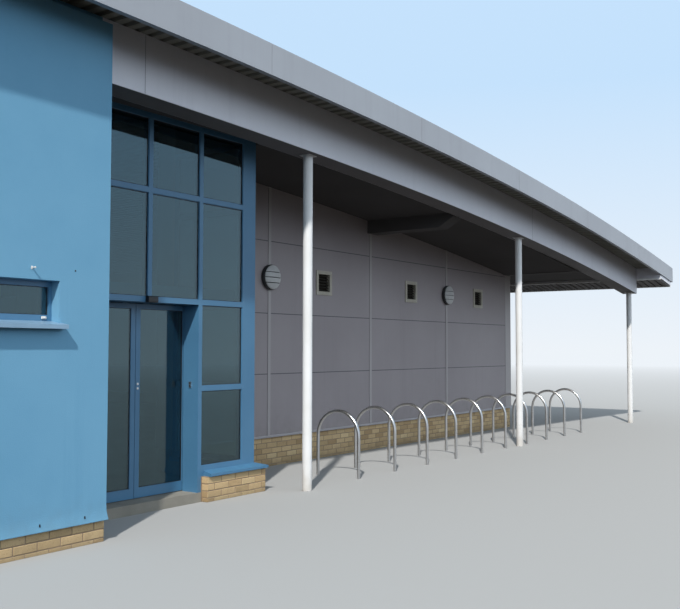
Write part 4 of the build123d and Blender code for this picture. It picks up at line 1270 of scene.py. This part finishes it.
def fit_vents():
    """A fine screen behind the louvres of each vent, and a screw at each corner of its frame."""
    screens = []
    screws = []
    for low, high in islands("vent_frames"):
        front = low.y + VENT_SCREEN_DEPTH
        screens.append(box_mesh(
            (low.x + VENT_SCREEN_INSET, front, low.z + VENT_SCREEN_INSET),
            (high.x - VENT_SCREEN_INSET, front + VENT_SCREEN_THICK, high.z - VENT_SCREEN_HEAD_INSET),
        ))
        for x in (low.x + VENT_SCREW_INSET, high.x - VENT_SCREW_INSET):
            for z in (low.z + VENT_SCREW_INSET, high.z - VENT_SCREW_INSET):
                screws.append(turned_mesh(SCREW_PROFILE, (x, low.y, z), sides=12))
    add_piece("vent_screens", screens, materials["louvre_metal"])
    add_piece("vent_screws", screws, materials["lock_steel"])


def fit_locks():
    """Two round cylinder covers on the right door, and two barrels on the key switch of the reveal."""
    low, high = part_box("right_door_lock")
    middle = (low + high) / 2
    covers = [
        turned_mesh(LOCK_COVER_PROFILE, (middle.x, high.y, middle.z + offset))
        for offset in (-LOCK_COVER_OFFSET, LOCK_COVER_OFFSET)
    ]
    add_piece(
        "door_lock_covers", covers, materials["lock_steel"], "right_door", ("right_door_lock",)
    )
    low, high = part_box("key_switch")
    middle = (low + high) / 2
    barrels = [
        turned_mesh(SWITCH_BARREL_PROFILE, (low.x, middle.y, middle.z + offset), axis=0, sides=20)
        for offset in (-SWITCH_BARREL_OFFSET, SWITCH_BARREL_OFFSET)
    ]
    add_piece("key_switch_barrels", barrels, gasket_rubber)


def fit_window_catches():
    """A white catch near the right end of each front window's low rail."""
    catches = []
    for low, high in islands("window_frames"):
        if low.y > 0:
            continue
        corner = Vector((high.x - CATCH_FROM_END, low.y, low.z + CATCH_RISE))
        for near, far in (CATCH_BASE, CATCH_GRIP):
            catches.append(box_mesh(corner + Vector(near), corner + Vector(far), CATCH_BEVEL))
    add_piece("window_catches", catches, white_plastic)


# Glazing
def glazing_side(low, high):
    return min(range(3), key=lambda i: high[i] - low[i])


def fit_glazing():
    """Rubber gaskets and beads round every pane, on both faces."""
    jobs = (
        ("entrance_glass", "entrance_gaskets", "entrance_beads", "root"),
        ("window_glass", "window_gaskets", "window_beads", "root"),
        ("left_door_glass", "left_door_gaskets", "left_door_beads", "left_door"),
        ("right_door_glass", "right_door_gaskets", "right_door_beads", "right_door"),
    )
    for glass, gasket_name, bead_name, body in jobs:
        gaskets = []
        beads = []
        for low, high in islands(glass):
            axis = glazing_side(low, high)
            for face, outward in ((low[axis], -1), (high[axis], 1)):
                near, far = sorted((face, face + outward * GASKET_PROUD))
                gaskets += ring_meshes(low, high, axis, GASKET_WIDTH, near, far)
                near, far = sorted((face, face + outward * BEAD_PROUD))
                beads += ring_meshes(low, high, axis, BEAD_WIDTH, near, far)
        add_piece(gasket_name, gaskets, gasket_rubber, body)
        add_piece(bead_name, beads, materials["blue_frame"], body)


# Cycle hoops
def bend_hoops():
    """Smooth tubes in place of the faceted hoops, in the same row."""
    boxes = sorted(islands("cycle_hoops"), key=lambda pair: pair[0].x)
    first_low, first_high = boxes[0]
    pitch = (boxes[-1][0].x - first_low.x) / (len(boxes) - 1)
    middle = (first_low + first_high) / 2
    mesh = grown(hoop_tree, {
        "Width": first_high.y - first_low.y - HOOP_TUBE, "Height": first_high.z - HOOP_TUBE / 2,
        "Tube": HOOP_TUBE, "Steps": HOOP_STEPS, "Count": len(boxes), "Start": (middle.x, middle.y, 0.0),
        "Pitch": pitch, "Material": materials["hoop_steel"],
    })
    for face in mesh.polygons:
        face.use_smooth = len(face.vertices) == 4
    add_piece("hoop_tubes", [mesh], materials["hoop_steel"], replaces=("cycle_hoops",))


# Stage
def seen_share(tree):
    """1 for what the camera sees, also by way of metal and glass."""
    path = node(tree, "ShaderNodeLightPath").outputs
    mirrored = maths(tree, "MAXIMUM", path["Is Glossy Ray"], path["Is Transmission Ray"])
    return maths(tree, "MAXIMUM", path["Is Camera Ray"], mirrored)


def set_floor():
    """A plain pale floor that fades into the horizon. It is darker for the light that bounces off it."""
    ground = bpy.data.meshes.new("ground")
    corners = ((-1, -1), (1, -1), (1, 1), (-1, 1))
    ground.from_pydata([(x * FLOOR_REACH, y * FLOOR_REACH, FLOOR_Z) for x, y in corners], [], [(0, 1, 2, 3)])
    floor = bpy.data.objects.new("pale_floor", ground)
    bpy.context.scene.collection.objects.link(floor)
    material, tree, shader = new_material("pale_floor")
    tree.nodes.remove(shader)
    bounce = node(tree, "ShaderNodeBsdfDiffuse", {"Color": FLOOR_BOUNCE}).outputs[0]
    near = node(tree, "ShaderNodeBsdfDiffuse", {"Color": FLOOR_SEEN}).outputs[0]
    far = node(tree, "ShaderNodeEmission", {"Color": HORIZON, "Strength": 1.0}).outputs[0]
    reach_out = node(tree, "ShaderNodeVectorMath", {0: object_place(tree)}, operation="LENGTH")
    fade = range_map(tree, reach_out.outputs["Value"], FLOOR_FADE_START, FLOOR_FADE_END)
    seen = node(tree, "ShaderNodeMixShader", {0: fade, 1: near, 2: far}).outputs[0]
    mixed = node(tree, "ShaderNodeMixShader", {0: seen_share(tree), 1: bounce, 2: seen}).outputs[0]
    tree.links.new(mixed, tree.nodes["Material Output"].inputs["Surface"])
    ground.materials.append(material)


def set_world():
    """Soft fill from all round, with a plain sky that only the camera, metal and glass see."""
    world = bpy.data.worlds.new("studio")
    bpy.context.scene.world = world
    world.use_nodes = True
    tree = world.node_tree
    tree.nodes.remove(tree.nodes["Background"])
    direction = node(tree, "ShaderNodeTexCoord").outputs["Generated"]
    _, facing, rise = parts(tree, direction)
    sky = mix_colour(tree, range_map(tree, rise, *BACKDROP_BAND), HORIZON, HIGH_SKY)
    strength = range_map(tree, rise, *FILL_BAND, SKY_LOW_STRENGTH, SKY_HIGH_STRENGTH)
    near_horizon = range_map(tree, rise, *HORIZON_BAND, HORIZON_SHARE, 1.0)
    strength = maths(tree, "MULTIPLY", strength, near_horizon)
    by_side = range_map(tree, facing, *FACING_BAND, FRONT_FILL, BACK_FILL)
    strength = maths(tree, "MULTIPLY", strength, by_side)
    fill = node(tree, "ShaderNodeBackground", {"Color": FILL_COLOUR, "Strength": strength}).outputs[0]
    backdrop = node(tree, "ShaderNodeBackground", {"Color": sky, "Strength": 1.0}).outputs[0]
    mixed = node(tree, "ShaderNodeMixShader", {0: seen_share(tree), 1: fill, 2: backdrop}).outputs[0]
    tree.links.new(mixed, tree.nodes["World Output"].inputs["Surface"])


def set_sun():
    sun = bpy.data.lights.new("key_light", "SUN")
    sun.energy = SUN_STRENGTH
    sun.angle = SUN_ANGLE
    sun.color = SUN_COLOUR
    lamp = bpy.data.objects.new("key_light", sun)
    lamp.rotation_euler = SUN_TRAVEL.to_track_quat("-Z", "Y").to_euler()
    bpy.context.scene.collection.objects.link(lamp)


def set_camera():
    ahead = Vector((
        math.cos(CAMERA_YAW) * math.cos(CAMERA_PITCH), math.sin(CAMERA_YAW) * math.cos(CAMERA_PITCH),
        math.sin(CAMERA_PITCH),
    ))
    level_right = Vector((math.sin(CAMERA_YAW), -math.cos(CAMERA_YAW), 0.0))
    level_up = level_right.cross(ahead)
    right = level_right * math.cos(CAMERA_ROLL) + level_up * math.sin(CAMERA_ROLL)
    up = level_up * math.cos(CAMERA_ROLL) - level_right * math.sin(CAMERA_ROLL)
    data = bpy.data.cameras.new("camera")
    data.sensor_width = SENSOR
    data.lens = FOCAL_PIXELS / IMAGE_WIDTH * SENSOR
    data.clip_end = 1000.0
    camera = bpy.data.objects.new("camera", data)
    turn = Matrix((right, up, -ahead)).transposed().to_4x4()
    camera.matrix_world = Matrix.Translation(CAMERA_PLACE) @ turn
    bpy.context.scene.collection.objects.link(camera)
    bpy.context.scene.camera = camera


set_camera()
set_floor()
set_world()
set_sun()
lay_bricks()
fit_roof()
fit_roof_joints()
fit_eaves_soffits()
fit_beam_shade_sheets()
fit_cross_beams()
fit_panel_joints()
fit_corner_flashings()
fit_drip_flashing()
fit_render_trims()
fit_column_heads()
fit_lights()
fit_vents()
fit_locks()
fit_window_catches()
fit_glazing()
bend_hoops()

bpy.context.scene.view_settings.view_transform = "Standard"
